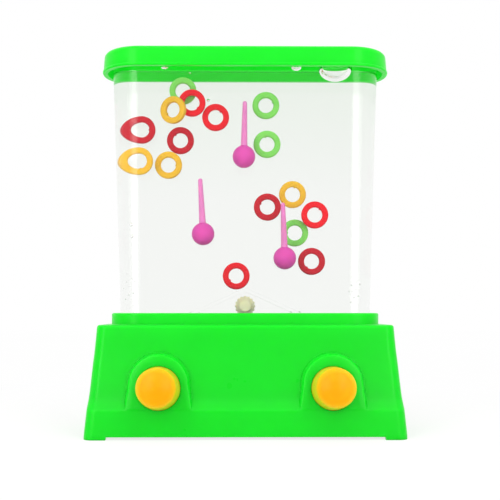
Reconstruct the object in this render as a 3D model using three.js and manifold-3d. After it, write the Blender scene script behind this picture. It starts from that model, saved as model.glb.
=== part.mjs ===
// Water ring toss game: a clear tank with three pegs and loose rings, on a flared base whose
// two push buttons pump water up through jets in the tank's floor.
// Millimetres, +Z up, +X to the player's right, the front towards -Y. The pieces are placed from
// the tank's mid-plane, and the whole game is then centred over its footprint.
import * as THREE from 'three';
import { mergeVertices, toCreasedNormals } from 'three/addons/utils/BufferGeometryUtils.js';
import Module from 'manifold-3d';

const wasm = await Module();
wasm.setup();

// Fits
const touch_gap = 0.3;
const cut_overrun = 2;
const weld_depth = 0.5;

// Clear tank, widest at its rim
const tank_height = 92.4;
const tank_rim_width = 90.3;
const tank_rim_depth = 21.6;
const tank_rim_radius = 10.3;
const tank_foot_width = 84.4;
const tank_foot_depth = 20;
const tank_foot_radius = 7.2;
const tank_wall = 1.4;
const tank_flange_height = 1.8;
const tank_flange_reach = 1;

// Roof-shaped deflector across the tank, which rolls the rings to the jets
const deflector_rise = 8.3;
const deflector_half_span = 18.6;
const deflector_thickness = 1.2;
const deflector_clearance = 0.8;

// Clear floor, cemented into the tank's foot
const floor_height = 5.9;
const floor_thickness = 1.8;
const floor_seat_depth = 0.5;
const jet_spacing = 56.2;
const jet_setback = 3;
const jet_mouth_radius = 1.1;
const jet_spigot_radius = 2;
const jet_spigot_length = 4.4;

// Filler hole low in the tank's back, and its knurled plug
const filler_height = 8.9;
const filler_hole_radius = 2.2;
const plug_cap_radius = 3.6;
const plug_cap_thickness = 2.8;
const plug_knurl_depth = 0.4;
const plug_knurls = 16;
const plug_stem_length = 2.6;

// Lid, cemented over the rim
const lid_roof = 1.8;
const lid_skirt_height = 6.8;
const lid_skirt_wall = 1.5;
const lid_skirt_draft = 0.35;
const lid_lip_height = 0.9;
const lid_lip_reach = 0.25;
const lid_lip_bevel = 0.3;
const lid_edge_radius = 1.7;
const lid_inner_rim_height = 2.6;
const lid_inner_rim_wall = 1.4;

// Pegs: a spike on a ball, held off the back wall by a short stub
const peg_ball_radius = 3.85;
const peg_spike_length = 15;
const peg_spike_base_radius = 1.1;
const peg_spike_tip_radius = 0.72;
const peg_stub_radius = 1.5;
const peg_forward_offset = 0.6;

// Rings
const ring_outer_radius = 4.67;
const ring_inner_radius = 2.6;
const ring_thickness = 1.9;
const ring_edge_radius = 0.45;
const ring_layer_gap = 0.3;
const ring_rest_share = 0.923;

// Base housing, flared towards its foot
const base_top_width = 97.7;
const base_bottom_width = 104.5;
const base_height = 36.7;
const base_front_at_top = 15;
const base_front_at_bottom = 21.4;
const base_back_at_top = 15;
const base_back_at_bottom = 17;
const base_corner_radius = 3.4;
const base_edge_radius = 0.9;
const base_wall = 2;
const foot_height = 1;
const foot_length = 7.4;

// Collar and well, which hold the tank's foot
const collar_height = 3.9;
const collar_wall = 2.5;
const collar_edge_radius = 0.6;
const well_wall = 1.6;
const well_ledge = 1.7;
const tank_sunk_below_deck = 2.6;

// Arch-shaped bosses round the buttons
const button_spacing = 56.2;
const button_height = 16.45;
const button_front_offset = 20.2;
const button_tilt = THREE.MathUtils.degToRad(5.5);
const boss_face_radius = 8.7;
const boss_draft_share = 0.6;
const boss_depth = 8;
const boss_drop = 7.1;
const boss_front_wall = 1.8;

// Push buttons, tapered caps with a stop flange
const button_reach = 11.5;
const button_face_radius = 6.1;
const button_root_radius = 7;
const button_edge_radius = 1.3;
const button_crown = 0.35;
const button_wall = 1.5;
const button_flange_radius = 8;
const button_flange_thickness = 1.4;
const button_plunger_radius = 3.2;
const button_flange_clearance = 0.45;
const button_play = 0.3;

// Bellows pumps
const bellows_length = 15;
const bellows_crest_radius = 6.6;
const bellows_root_radius = 4.7;
const bellows_wall = 0.8;
const bellows_folds = 4;
const bellows_neck_length = 3;
const bellows_end_thickness = 1;

// Elbows that carry the pumped water up to the jets
const elbow_nozzle_radius = 2.6;
const elbow_nozzle_bore_radius = 1.5;
const elbow_collar_radius = 4.6;
const elbow_collar_thickness = 1.2;
const elbow_tube_wall = 1.1;
const elbow_below_axis = 4;

// Bottom cover, its cradles behind the elbows, and its screws
const cover_thickness = 1.8;
const cover_recess = 0.3;
const cradle_width = 11;
const cradle_thickness = 2;
const cradle_height = 15;
const cradle_rib_depth = 5;
const cradle_rib_height = 7.5;
const cover_boss_radius = 3.3;
const cover_boss_height = 3.2;
const screw_head_radius = 2.1;
const screw_head_flat_radius = 1.3;
const screw_head_thickness = 1.5;
const screw_head_clearance = 0.6;
const screw_shank_radius = 1;
const screw_length = 11;
const screw_recess_width = 0.7;
const screw_recess_depth = 0.7;
const post_radius = 3.2;
const post_wall_gap = 0.6;

// Facets
const corner_steps = 5;
const fillet_steps = 3;
const arch_steps = 20;
const turn_steps = 28;
const small_turn_steps = 14;
const ring_turn_steps = 24;
const bellows_turn_steps = 20;
const ball_rows = 10;

// Levels, worked out upwards from the surface that the game stands on
const tank_foot_level = base_height - tank_sunk_below_deck;
const tank_rim_level = tank_foot_level + tank_height;
const floor_top_level = tank_foot_level + floor_height;
const collar_top_level = base_height + collar_height;
const lid_top_level = tank_rim_level + touch_gap + lid_roof;
const lid_bottom_level = lid_top_level - lid_skirt_height;
const filler_level = tank_foot_level + filler_height;

// Places of what is spread over the tank: shares of the reach to either side of its middle, and
// of the height from the lowest ring to the tank's rim.
// name, share across, share up, lean in degrees
const peg_shares = [
  ['left', -0.377, 0.192, 3],
  ['middle', -0.012, 0.551, -1],
  ['right', 0.355, 0.08, 2],
];

// colour, number, share across, share up, layer counted from the back wall, turn in degrees
const ring_shares = [
  ['green', 1, -0.555, 0.876, 0, 0],
  ['green', 2, 0.186, 0.808, 0, 0],
  ['green', 3, 0.197, 0.62, 1, 0],
  ['green', 4, 0.462, 0.204, 0, 0],
  ['yellow', 1, -0.639, 0.776, 2, 23],
  ['yellow', 2, -0.95, 0.532, 3, 0],
  ['yellow', 3, -0.695, 0.521, 1, 0],
  ['yellow', 4, 0.436, 0.386, 0, 0],
  ['red', 1, -0.474, 0.814, 1, 0],
  ['red', 2, -0.265, 0.751, 0, 0],
  ['red', 3, 0.641, 0.287, 1, 0],
  ['red', 4, -0.084, 0, 0, 0],
  ['dark_red', 1, -0.923, 0.682, 2, 0],
  ['dark_red', 2, -0.585, 0.641, 0, 0],
  ['dark_red', 3, 0.204, 0.324, 1, 0],
  ['dark_red', 4, 0.62, 0.068, 1, 0],
];

// The base's flare: share of the height above the rim, of the spread in width, and in front
const flare_shares = [
  [0, 1, 1],
  [0.224, 0.76, 0.87],
  [0.35, 0.635, 0.5],
  [0.476, 0.525, 0.31],
  [0.616, 0.395, 0.18],
  [0.77, 0.22, 0.08],
  [1, 0, 0],
];

const finishes = {
  green: { color: 0x23eb31, roughness: 0.32, metalness: 0 },
  clear: { color: 0xeef4f0, roughness: 0.06, metalness: 0, transparent: true, opacity: 0.3 },
  magenta: { color: 0xe05aaa, roughness: 0.25, metalness: 0 },
  orange: { color: 0xfeb819, roughness: 0.4, metalness: 0 },
  plug_yellow: { color: 0xe8d95a, roughness: 0.4, metalness: 0 },
  rubber: { color: 0xe9e7df, roughness: 0.7, metalness: 0 },
  white: { color: 0xf1f1ee, roughness: 0.45, metalness: 0 },
  steel: { color: 0xb9bcc0, roughness: 0.3, metalness: 1 },
  ring_green: { color: 0x80e267, roughness: 0.35, metalness: 0 },
  ring_yellow: { color: 0xf0b93c, roughness: 0.35, metalness: 0 },
  ring_red: { color: 0xf2283c, roughness: 0.35, metalness: 0 },
  ring_dark_red: { color: 0xc0303f, roughness: 0.35, metalness: 0 },
};

// A closed mesh as a solid that can be joined and cut
function solidOf(geometry) {
  const bare = geometry.clone();
  bare.deleteAttribute('normal');
  bare.deleteAttribute('uv');
  const merged = mergeVertices(bare);
  return new wasm.Manifold(
    new wasm.Mesh({
      numProp: 3,
      vertProperties: new Float32Array(merged.attributes.position.array),
      triVerts: new Uint32Array(merged.index.array),
    }),
  );
}

function join(first, ...others) {
  return others.reduce((whole, piece) => whole.add(piece), first);
}

function cut(body, ...tools) {
  return tools.reduce((left, tool) => left.subtract(tool), body);
}

function geometryOf(solid) {
  const { vertProperties, triVerts, numProp } = solid.getMesh();
  const geometry = new THREE.BufferGeometry();
  const places = new THREE.InterleavedBuffer(vertProperties, numProp);
  const position = new Float32Array(places.count * 3);
  for (let i = 0; i < places.count; i += 1) {
    position.set(vertProperties.subarray(i * numProp, i * numProp + 3), i * 3);
  }
  geometry.setAttribute('position', new THREE.BufferAttribute(position, 3));
  geometry.setIndex(new THREE.BufferAttribute(new Uint32Array(triVerts), 1));
  return toCreasedNormals(geometry, Math.PI / 6);
}

const part = new THREE.Group();

function addPiece(name, solid, finish, parent = part) {
  const mesh = new THREE.Mesh(geometryOf(solid), new THREE.MeshStandardMaterial(finishes[finish]));
  mesh.name = name;
  parent.add(mesh);
  return mesh;
}

// A skin over outlines of equal count, closed by a flat fan at each end
function loft(outlines) {
  const count = outlines[0].length;
  const position = outlines.flat().flatMap((point) => [point.x, point.y, point.z]);
  const index = [];
  for (let level = 0; level + 1 < outlines.length; level += 1) {
    for (let i = 0; i < count; i += 1) {
      const here = level * count + i;
      const next = level * count + ((i + 1) % count);
      index.push(here, next, here + count, next, next + count, here + count);
    }
  }
  const top = (outlines.length - 1) * count;
  for (let i = 1; i + 1 < count; i += 1) {
    index.push(0, i + 1, i);
    index.push(top, top + i, top + i + 1);
  }
  const geometry = new THREE.BufferGeometry();
  geometry.setAttribute('position', new THREE.Float32BufferAttribute(position, 3));
  geometry.setIndex(index);
  return solidOf(geometry);
}

// A body of revolution about +Z. Its profile lists [radius, height] up the outside.
function turned(profile, steps = turn_steps) {
  const points = profile.map(([radius, height]) => new THREE.Vector2(radius, height));
  return solidOf(new THREE.LatheGeometry(points, steps).rotateX(Math.PI / 2).rotateZ(Math.PI));
}

function rod(radius, bottom, top, steps = turn_steps) {
  return turned([[0, bottom], [radius, bottom], [radius, top], [0, top]], steps);
}

function block(x0, x1, y0, y1, z0, z1) {
  const geometry = new THREE.BoxGeometry(x1 - x0, y1 - y0, z1 - z0);
  return solidOf(geometry.translate((x0 + x1) / 2, (y0 + y1) / 2, (z0 + z1) / 2));
}

function placed(solid, matrix) {
  return solid.transform(matrix.elements);
}

// Rounded rectangles. A plan holds the reach to each side, to the front and to the back.
function grown(plan, by) {
  return {
    side: plan.side + by,
    front: plan.front + by,
    back: plan.back + by,
    radius: Math.max(plan.radius + by, touch_gap),
  };
}

function mixed(a, b, share) {
  return {
    side: THREE.MathUtils.lerp(a.side, b.side, share),
    front: THREE.MathUtils.lerp(a.front, b.front, share),
    back: THREE.MathUtils.lerp(a.back, b.back, share),
    radius: THREE.MathUtils.lerp(a.radius, b.radius, share),
  };
}

function outline(plan, z) {
  const radius = Math.min(plan.radius, plan.side, (plan.front + plan.back) / 2);
  const points = [];
  const corners = [[1, plan.back], [-1, plan.back], [-1, -plan.front], [1, -plan.front]];
  corners.forEach(([sideways, reach], quarter) => {
    const x = sideways * (plan.side - radius);
    const y = reach - Math.sign(reach) * radius;
    for (let step = 0; step <= corner_steps; step += 1) {
      const angle = (quarter + step / corner_steps) * (Math.PI / 2);
      points.push(new THREE.Vector3(x + radius * Math.cos(angle), y + radius * Math.sin(angle), z));
    }
  });
  return points;
}

function straightLoft(plan, bottom, top) {
  return loft([outline(plan, bottom), outline(plan, top)]);
}

// Levels that round off the top edge of a plan
function roundedTop(plan, top, radius) {
  const levels = [];
  for (let step = 0; step <= fillet_steps; step += 1) {
    const angle = (step / fillet_steps) * (Math.PI / 2);
    const inset = radius * (1 - Math.cos(angle));
    levels.push(outline(grown(plan, -inset), top - radius + radius * Math.sin(angle)));
  }
  return levels;
}

// Tank
const tank_foot_plan = {
  side: tank_foot_width / 2,
  front: tank_foot_depth / 2,
  back: tank_foot_depth / 2,
  radius: tank_foot_radius,
};
const tank_rim_plan = {
  side: tank_rim_width / 2,
  front: tank_rim_depth / 2,
  back: tank_rim_depth / 2,
  radius: tank_rim_radius,
};

function tankPlan(level, inset = 0) {
  const share = (level - tank_foot_level) / tank_height;
  return grown(mixed(tank_foot_plan, tank_rim_plan, share), -inset);
}

function tankLoft(bottom, top, inset) {
  return loft([outline(tankPlan(bottom, inset), bottom), outline(tankPlan(top, inset), top)]);
}

// A prism under the deflector's two slopes, lowered by a drop, through the tank from back to front
function roofPrism(drop, bottom, front, back) {
  const apex = floor_top_level + deflector_clearance + deflector_rise - drop;
  const half_span = ((apex - bottom) * deflector_half_span) / deflector_rise;
  const gable = [[-half_span, bottom], [half_span, bottom], [0, apex]];
  return loft([back, -front].map((y) => gable.map(([x, z]) => new THREE.Vector3(x, y, z))));
}

function makeTank() {
  const outer = tankLoft(tank_foot_level, tank_rim_level, 0);
  const flange = loft([
    outline(grown(tankPlan(tank_rim_level), tank_flange_reach), tank_rim_level - tank_flange_height),
    outline(grown(tankPlan(tank_rim_level), tank_flange_reach), tank_rim_level),
  ]);
  const inside = tankLoft(tank_foot_level - cut_overrun, tank_rim_level + cut_overrun, tank_wall);
  const seat_top = floor_top_level + touch_gap;
  const floor_seat = tankLoft(
    tank_foot_level - cut_overrun,
    seat_top,
    tank_wall - floor_seat_depth,
  );
  const shell = cut(join(outer, flange), inside, floor_seat);

  const eave = floor_top_level + deflector_clearance;
  const reach = tankPlan(eave, tank_wall - weld_depth);
  const drop = deflector_thickness * Math.hypot(1, deflector_rise / deflector_half_span);
  const roof = cut(
    roofPrism(0, eave, reach.front, reach.back),
    roofPrism(drop, eave - cut_overrun, reach.front + cut_overrun, reach.back + cut_overrun),
  );
  const filler_hole = placed(
    rod(filler_hole_radius, 0, tank_foot_depth),
    new THREE.Matrix4().makeRotationX(-Math.PI / 2).setPosition(0, 0, filler_level),
  );
  return cut(join(shell, roof), filler_hole);
}

addPiece('tank', makeTank(), 'clear');

// Floor with its two jets. A spigot under each jet takes an elbow's tube.
function makeFloor() {
  const bottom = floor_top_level - floor_thickness;
  const plan = tankPlan(bottom, tank_wall - floor_seat_depth + touch_gap);
  const pieces = [straightLoft(plan, bottom, floor_top_level)];
  const bores = [];
  for (const side of [-1, 1]) {
    const at = new THREE.Matrix4().setPosition((side * jet_spacing) / 2, jet_setback, 0);
    const spigot_foot = bottom - jet_spigot_length;
    const spigot = rod(jet_spigot_radius, spigot_foot, bottom + weld_depth, small_turn_steps);
    pieces.push(placed(spigot, at));
    const bore_foot = spigot_foot - cut_overrun;
    const bore_top = floor_top_level + cut_overrun;
    bores.push(placed(rod(jet_mouth_radius, bore_foot, bore_top, small_turn_steps), at));
  }
  return cut(join(...pieces), ...bores);
}

addPiece('tank_floor', makeFloor(), 'clear');

// Lid
function makeLid() {
  const rim = grown(tankPlan(tank_rim_level), tank_flange_reach + touch_gap);
  const skirt_top = grown(rim, lid_skirt_wall);
  const skirt_foot = grown(skirt_top, lid_skirt_draft);
  const lip = grown(skirt_foot, lid_lip_reach);
  const lip_top = lid_bottom_level + lid_lip_height;
  const outer = loft([
    outline(skirt_foot, lid_bottom_level),
    outline(lip, lid_bottom_level + lid_lip_bevel),
    outline(lip, lip_top - lid_lip_bevel),
    outline(skirt_foot, lip_top),
    ...roundedTop(skirt_top, lid_top_level, lid_edge_radius),
  ]);
  const roof_underside = lid_top_level - lid_roof;
  const hollow = loft([
    outline(grown(rim, lid_skirt_draft), lid_bottom_level - cut_overrun),
    outline(rim, roof_underside),
  ]);
  const inner_rim_foot = roof_underside - lid_inner_rim_height;
  const inner_rim_plan = tankPlan(inner_rim_foot, tank_wall + touch_gap);
  const inner_rim = cut(
    straightLoft(inner_rim_plan, inner_rim_foot, roof_underside + weld_depth),
    straightLoft(
      grown(inner_rim_plan, -lid_inner_rim_wall),
      inner_rim_foot - cut_overrun,
      roof_underside,
    ),
  );
  return join(cut(outer, hollow), inner_rim);
}

addPiece('lid', makeLid(), 'green');

// Pegs and rings are spread over the tank by their shares. The lowest ring rests against the
// deflector's slope, with its middle a share of its radius above the ridge.
const ridge_level = floor_top_level + deflector_clearance + deflector_rise;
const lowest_ring_level = ridge_level + ring_rest_share * ring_outer_radius;

function tankPlace(across_share, up_share, clear_radius) {
  const z = THREE.MathUtils.lerp(lowest_ring_level, tank_rim_level, up_share);
  const reach = tankPlan(z, tank_wall).side - clear_radius;
  return { x: across_share * reach, z };
}

function makePeg(lean, back_wall) {
  const ball = solidOf(new THREE.SphereGeometry(peg_ball_radius, small_turn_steps, ball_rows));
  const tip_level = peg_ball_radius + peg_spike_length;
  const spike = turned(
    [
      [0, 0],
      [peg_spike_base_radius, 0],
      [peg_spike_base_radius, peg_ball_radius],
      [peg_spike_tip_radius, tip_level - peg_spike_tip_radius],
      [peg_spike_tip_radius * Math.SQRT1_2, tip_level - peg_spike_tip_radius * (1 - Math.SQRT1_2)],
      [0, tip_level],
    ],
    small_turn_steps,
  );
  const stub = placed(
    rod(peg_stub_radius, 0, back_wall - touch_gap, small_turn_steps),
    new THREE.Matrix4().makeRotationX(-Math.PI / 2),
  );
  return join(ball, placed(spike, new THREE.Matrix4().makeRotationY(-lean)), stub);
}

for (const [name, across_share, up_share, lean] of peg_shares) {
  const { x, z } = tankPlace(across_share, up_share, peg_ball_radius);
  const back_wall = tankPlan(z - peg_stub_radius, tank_wall).back + peg_forward_offset;
  const peg = addPiece(`peg_${name}`, makePeg(THREE.MathUtils.degToRad(lean), back_wall), 'magenta');
  peg.position.set(x, -peg_forward_offset, z);
}

function makeRing() {
  const half = ring_thickness / 2;
  const shoulder = ring_outer_radius - ring_edge_radius;
  const profile = [
    [ring_inner_radius, -half],
    [shoulder, -half],
    [ring_outer_radius, 0],
    [shoulder, half],
    [ring_inner_radius, half],
    [ring_inner_radius, -half],
  ];
  return turned(profile, ring_turn_steps);
}

for (const [colour, number, across_share, up_share, layer, turn] of ring_shares) {
  const { x, z } = tankPlace(across_share, up_share, ring_outer_radius);
  const layer_pitch = ring_thickness + ring_layer_gap;
  const back_wall = tankPlan(z - ring_outer_radius, tank_wall).back;
  const ring = addPiece(`ring_${colour}_${number}`, makeRing(), `ring_${colour}`);
  ring.position.set(x, back_wall - ring_layer_gap - ring_thickness / 2 - layer * layer_pitch, z);
  ring.rotation.set(Math.PI / 2, 0, THREE.MathUtils.degToRad(-turn), 'ZXY');
}

// Filler plug: a knurled cap on a stem, pushed into the hole in the tank's back
function makePlug() {
  const knurled = new THREE.Shape(
    Array.from({ length: plug_knurls * 2 }, (_, i) => {
      const radius = plug_cap_radius - (i % 2) * plug_knurl_depth;
      const angle = (i * Math.PI) / plug_knurls;
      return new THREE.Vector2(radius * Math.cos(angle), radius * Math.sin(angle));
    }),
  );
  const cap = new THREE.ExtrudeGeometry(knurled, { depth: plug_cap_thickness, bevelEnabled: false });
  const stem = rod(filler_hole_radius - touch_gap, -plug_stem_length, weld_depth, small_turn_steps);
  return join(solidOf(cap), stem);
}

const tank_back_at_filler = tankPlan(filler_level + plug_cap_radius).back;
const plug = addPiece('filler_plug', makePlug(), 'plug_yellow');
plug.position.set(0, tank_back_at_filler + touch_gap, filler_level);
plug.rotation.set(-Math.PI / 2, 0, 0);

// Base housing
function flarePlan(level, inset = 0) {
  const share = (level - foot_height) / (base_height - foot_height);
  const above = Math.max(flare_shares.findIndex(([up]) => up >= share), 1);
  const [low_up, low_width, low_front] = flare_shares[above - 1];
  const [high_up, high_width, high_front] = flare_shares[above];
  const between = (share - low_up) / (high_up - low_up);
  const width_share = THREE.MathUtils.lerp(low_width, high_width, between);
  const front_share = THREE.MathUtils.lerp(low_front, high_front, between);
  const plan = {
    side: THREE.MathUtils.lerp(base_top_width, base_bottom_width, width_share) / 2,
    front: THREE.MathUtils.lerp(base_front_at_top, base_front_at_bottom, front_share),
    back: THREE.MathUtils.lerp(base_back_at_bottom, base_back_at_top, share),
    radius: base_corner_radius,
  };
  return grown(plan, -inset);
}

function flareLevel(share) {
  return THREE.MathUtils.lerp(foot_height, base_height, share);
}

// A place on the axis of a button: +Z points out of the base along the axis, from the boss's face
function buttonFrame(side) {
  const right = new THREE.Vector3(1, 0, 0);
  const up = new THREE.Vector3(0, Math.sin(button_tilt), Math.cos(button_tilt));
  const out = new THREE.Vector3(0, -Math.cos(button_tilt), Math.sin(button_tilt));
  const frame = new THREE.Matrix4().makeBasis(right, up, out);
  return frame.setPosition((side * button_spacing) / 2, -button_front_offset, button_height);
}

// An arch over straight sides, in the plane of a boss's face
function archOutline(radius, along) {
  const points = [];
  for (let step = 0; step <= arch_steps; step += 1) {
    const angle = (step / arch_steps) * Math.PI;
    points.push(new THREE.Vector3(radius * Math.cos(angle), radius * Math.sin(angle), along));
  }
  points.push(new THREE.Vector3(-radius, -boss_drop, along));
  points.push(new THREE.Vector3(radius, -boss_drop, along));
  return points;
}

const button_hole_radius = button_root_radius + button_play + touch_gap / 2;

// The posts hang from the housing's deck, just clear of its walls, and the cover's screws go up into
// them. They stand in from the corners of the deck, or of the foot where that is the smaller.
function screwPlaces() {
  const deck = flarePlan(base_height);
  const foot = flarePlan(foot_height);
  const inset = base_wall + post_wall_gap + post_radius;
  const across = Math.min(deck.side, foot.side) - inset;
  const forward = Math.min(deck.front, foot.front) - inset;
  const backward = Math.min(deck.back, foot.back) - inset;
  const places = [];
  for (const [end, y] of [['front', -forward], ['back', backward]]) {
    for (const [hand, side] of [['left', -1], ['right', 1]]) {
      places.push({ name: `${end}_${hand}`, x: side * across, y });
    }
  }
  return places;
}

const cover_bottom_level = foot_height + cover_recess;
const cover_boss_top = cover_bottom_level + cover_thickness + cover_boss_height;

function makeHousing() {
  const shares = flare_shares.map(([up]) => up).filter((up) => up < 1);
  const edge_level = base_height - base_edge_radius;
  const skin_levels = shares.map((share) => outline(flarePlan(flareLevel(share)), flareLevel(share)));
  const outer = loft([
    outline(flarePlan(foot_height), 0),
    ...skin_levels,
    ...roundedTop(flarePlan(edge_level), base_height, base_edge_radius),
  ]);
  const ceiling = base_height - base_wall;
  const hollow_levels = shares.map((share) =>
    outline(flarePlan(flareLevel(share), base_wall), flareLevel(share)),
  );
  const hollow = loft([
    outline(flarePlan(foot_height, base_wall), -cut_overrun),
    ...hollow_levels,
    outline(flarePlan(ceiling, base_wall), ceiling),
  ]);

  const bosses = [-1, 1].map((side) =>
    placed(
      loft([
        archOutline(boss_face_radius + boss_depth * boss_draft_share, -boss_depth),
        archOutline(boss_face_radius, 0),
      ]),
      buttonFrame(side),
    ),
  );
  const boss_hollows = [-1, 1].map((side) =>
    placed(
      rod(
        button_flange_radius + button_flange_clearance,
        -boss_depth - cut_overrun,
        -boss_front_wall,
      ),
      buttonFrame(side),
    ),
  );
  const button_holes = [-1, 1].map((side) =>
    placed(rod(button_hole_radius, -boss_depth, cut_overrun), buttonFrame(side)),
  );
  const shell = cut(join(outer, ...bosses), hollow, ...boss_hollows, ...button_holes);

  const collar_plan = grown(tankPlan(collar_top_level), touch_gap + collar_wall);
  const collar = loft([
    outline(collar_plan, base_height - weld_depth),
    ...roundedTop(collar_plan, collar_top_level, collar_edge_radius),
  ]);
  const ledge_top = tank_foot_level - touch_gap;
  const well_plan = grown(tankPlan(base_height), touch_gap + well_wall);
  const well = straightLoft(well_plan, ledge_top - well_ledge, base_height - weld_depth);
  const bore = loft([
    outline(grown(tankPlan(ledge_top), touch_gap), ledge_top),
    outline(grown(tankPlan(collar_top_level), touch_gap), collar_top_level + cut_overrun),
  ]);
  const ledge_opening = straightLoft(
    tankPlan(tank_foot_level, tank_wall),
    ledge_top - well_ledge - cut_overrun,
    ledge_top + cut_overrun,
  );
  const plug_notch = placed(
    rod(plug_cap_radius + touch_gap, 0, tank_foot_depth),
    new THREE.Matrix4().makeRotationX(-Math.PI / 2).setPosition(0, 0, filler_level),
  );

  const posts = screwPlaces().map(({ x, y }) => {
    const at = new THREE.Matrix4().setPosition(x, y, 0);
    const post_foot = cover_boss_top + touch_gap;
    const post_top = base_height - weld_depth;
    const pilot_top = cover_boss_top + screw_length;
    return {
      post: placed(rod(post_radius, post_foot, post_top, small_turn_steps), at),
      pilot: placed(
        rod(screw_shank_radius + touch_gap, post_foot - cut_overrun, pilot_top, small_turn_steps),
        at,
      ),
    };
  });

  const body = cut(
    join(shell, collar, well, ...posts.map(({ post }) => post)),
    bore,
    ledge_opening,
    plug_notch,
    ...posts.map(({ pilot }) => pilot),
  );

  // The rim is cut back between the feet, which are its four corners.
  const plan = flarePlan(foot_height);
  const wide = plan.side + cut_overrun;
  const between_sides = block(
    foot_length - plan.side,
    plan.side - foot_length,
    -plan.front - cut_overrun,
    plan.back + cut_overrun,
    -cut_overrun,
    foot_height,
  );
  const between_ends = block(
    -wide,
    wide,
    foot_length - plan.front,
    plan.back - foot_length,
    -cut_overrun,
    foot_height,
  );
  return cut(body, between_sides, between_ends);
}

addPiece('base_housing', makeHousing(), 'green');

// Bottom cover
const elbow_bore_radius = jet_spigot_radius + touch_gap;
const elbow_tube_radius = elbow_bore_radius + elbow_tube_wall;

function makeCover() {
  const top = cover_bottom_level + cover_thickness;
  const plate_plan = flarePlan(top, base_wall + touch_gap);
  const plate = straightLoft(plate_plan, cover_bottom_level, top);
  const pieces = [plate];
  const recesses = [];
  for (const { x, y } of screwPlaces()) {
    const at = new THREE.Matrix4().setPosition(x, y, 0);
    const counterbore_top = cover_bottom_level + screw_head_thickness + screw_head_clearance;
    pieces.push(
      placed(rod(cover_boss_radius, top - weld_depth, cover_boss_top, small_turn_steps), at),
    );
    recesses.push(
      placed(rod(screw_head_radius + touch_gap, 0, counterbore_top, small_turn_steps), at),
      placed(
        rod(screw_shank_radius + touch_gap, 0, cover_boss_top + cut_overrun, small_turn_steps),
        at,
      ),
    );
  }
  for (const side of [-1, 1]) {
    const x = (side * jet_spacing) / 2;
    const front = jet_setback + elbow_tube_radius + touch_gap;
    const back = Math.min(front + cradle_thickness + cradle_rib_depth, plate_plan.back - touch_gap);
    const half = cradle_width / 2;
    const cradle_top = top + cradle_height;
    pieces.push(
      block(x - half, x + half, front, front + cradle_thickness, top - weld_depth, cradle_top),
    );
    for (const edge of [x - half, x + half - cradle_thickness]) {
      pieces.push(
        block(
          edge,
          edge + cradle_thickness,
          front,
          back,
          top - weld_depth,
          top + cradle_rib_height,
        ),
      );
    }
  }
  return cut(join(...pieces), ...recesses);
}

addPiece('bottom_cover', makeCover(), 'green');

// Screws, driven up through the cover into the posts
function makeScrew() {
  const head = turned(
    [
      [0, 0],
      [screw_head_flat_radius, 0],
      [screw_head_radius, screw_head_thickness / 2],
      [screw_head_radius, screw_head_thickness],
      [screw_shank_radius, screw_head_thickness],
      [screw_shank_radius, screw_length],
      [0, screw_length + screw_shank_radius],
    ],
    small_turn_steps,
  );
  const arm = screw_head_radius / 2;
  const half = screw_recess_width / 2;
  const top = screw_recess_depth;
  return cut(
    head,
    block(-arm, arm, -half, half, -cut_overrun, top),
    block(-half, half, -arm, arm, -cut_overrun, top),
  );
}

for (const { name, x, y } of screwPlaces()) {
  const screw = addPiece(`screw_${name}`, makeScrew(), 'steel');
  screw.position.set(x, y, cover_bottom_level + touch_gap);
}

// Pumps: button, bellows and elbow, along the tilted axis of each button
const button_flange_front = -boss_front_wall - touch_gap;
const button_rear = button_flange_front - button_flange_thickness;

function makeButton() {
  const edge = button_edge_radius;
  const rim = Array.from({ length: fillet_steps + 1 }, (_, step) => {
    const angle = (step / fillet_steps) * (Math.PI / 2);
    return [
      button_face_radius - edge + edge * Math.cos(angle),
      button_reach - button_crown - edge + edge * Math.sin(angle),
    ];
  });
  const cavity_front = button_reach - button_crown - button_wall;
  return turned([
    [0, button_rear],
    [button_plunger_radius, button_rear],
    [button_plunger_radius, cavity_front],
    [button_face_radius - button_wall, cavity_front],
    [button_root_radius - button_wall, button_rear],
    [button_flange_radius, button_rear],
    [button_flange_radius, button_flange_front],
    [button_root_radius, button_flange_front],
    [button_root_radius, 0],
    ...rim,
    [0, button_reach],
  ]);
}

const bellows_front = button_rear - touch_gap;
const bellows_rear = bellows_front - bellows_length;
const neck_bore = elbow_nozzle_radius + touch_gap;

function makeBellows() {
  const neck_front = bellows_rear + bellows_neck_length;
  const folds_front = bellows_front - bellows_end_thickness;
  const pitch = (folds_front - neck_front) / bellows_folds;
  const outside = [
    [neck_bore + bellows_wall, bellows_rear],
    [neck_bore + bellows_wall, neck_front],
  ];
  const inside = [
    [neck_bore, neck_front + bellows_wall],
    [neck_bore, bellows_rear],
  ];
  for (let fold = 0; fold < bellows_folds; fold += 1) {
    const root = neck_front + fold * pitch;
    outside.push([bellows_root_radius, root]);
    outside.push([bellows_crest_radius, root + pitch / 2]);
    inside.unshift([bellows_root_radius - bellows_wall, root + (fold ? 0 : bellows_wall)]);
    inside.unshift([bellows_crest_radius - bellows_wall, root + pitch / 2]);
  }
  outside.push([bellows_root_radius, folds_front], [bellows_root_radius, bellows_front]);
  const skin = [
    ...outside,
    [0, bellows_front],
    [0, folds_front],
    [bellows_root_radius - bellows_wall, folds_front],
    ...inside,
    [neck_bore + bellows_wall, bellows_rear],
  ];
  return turned(skin, bellows_turn_steps);
}

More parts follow.
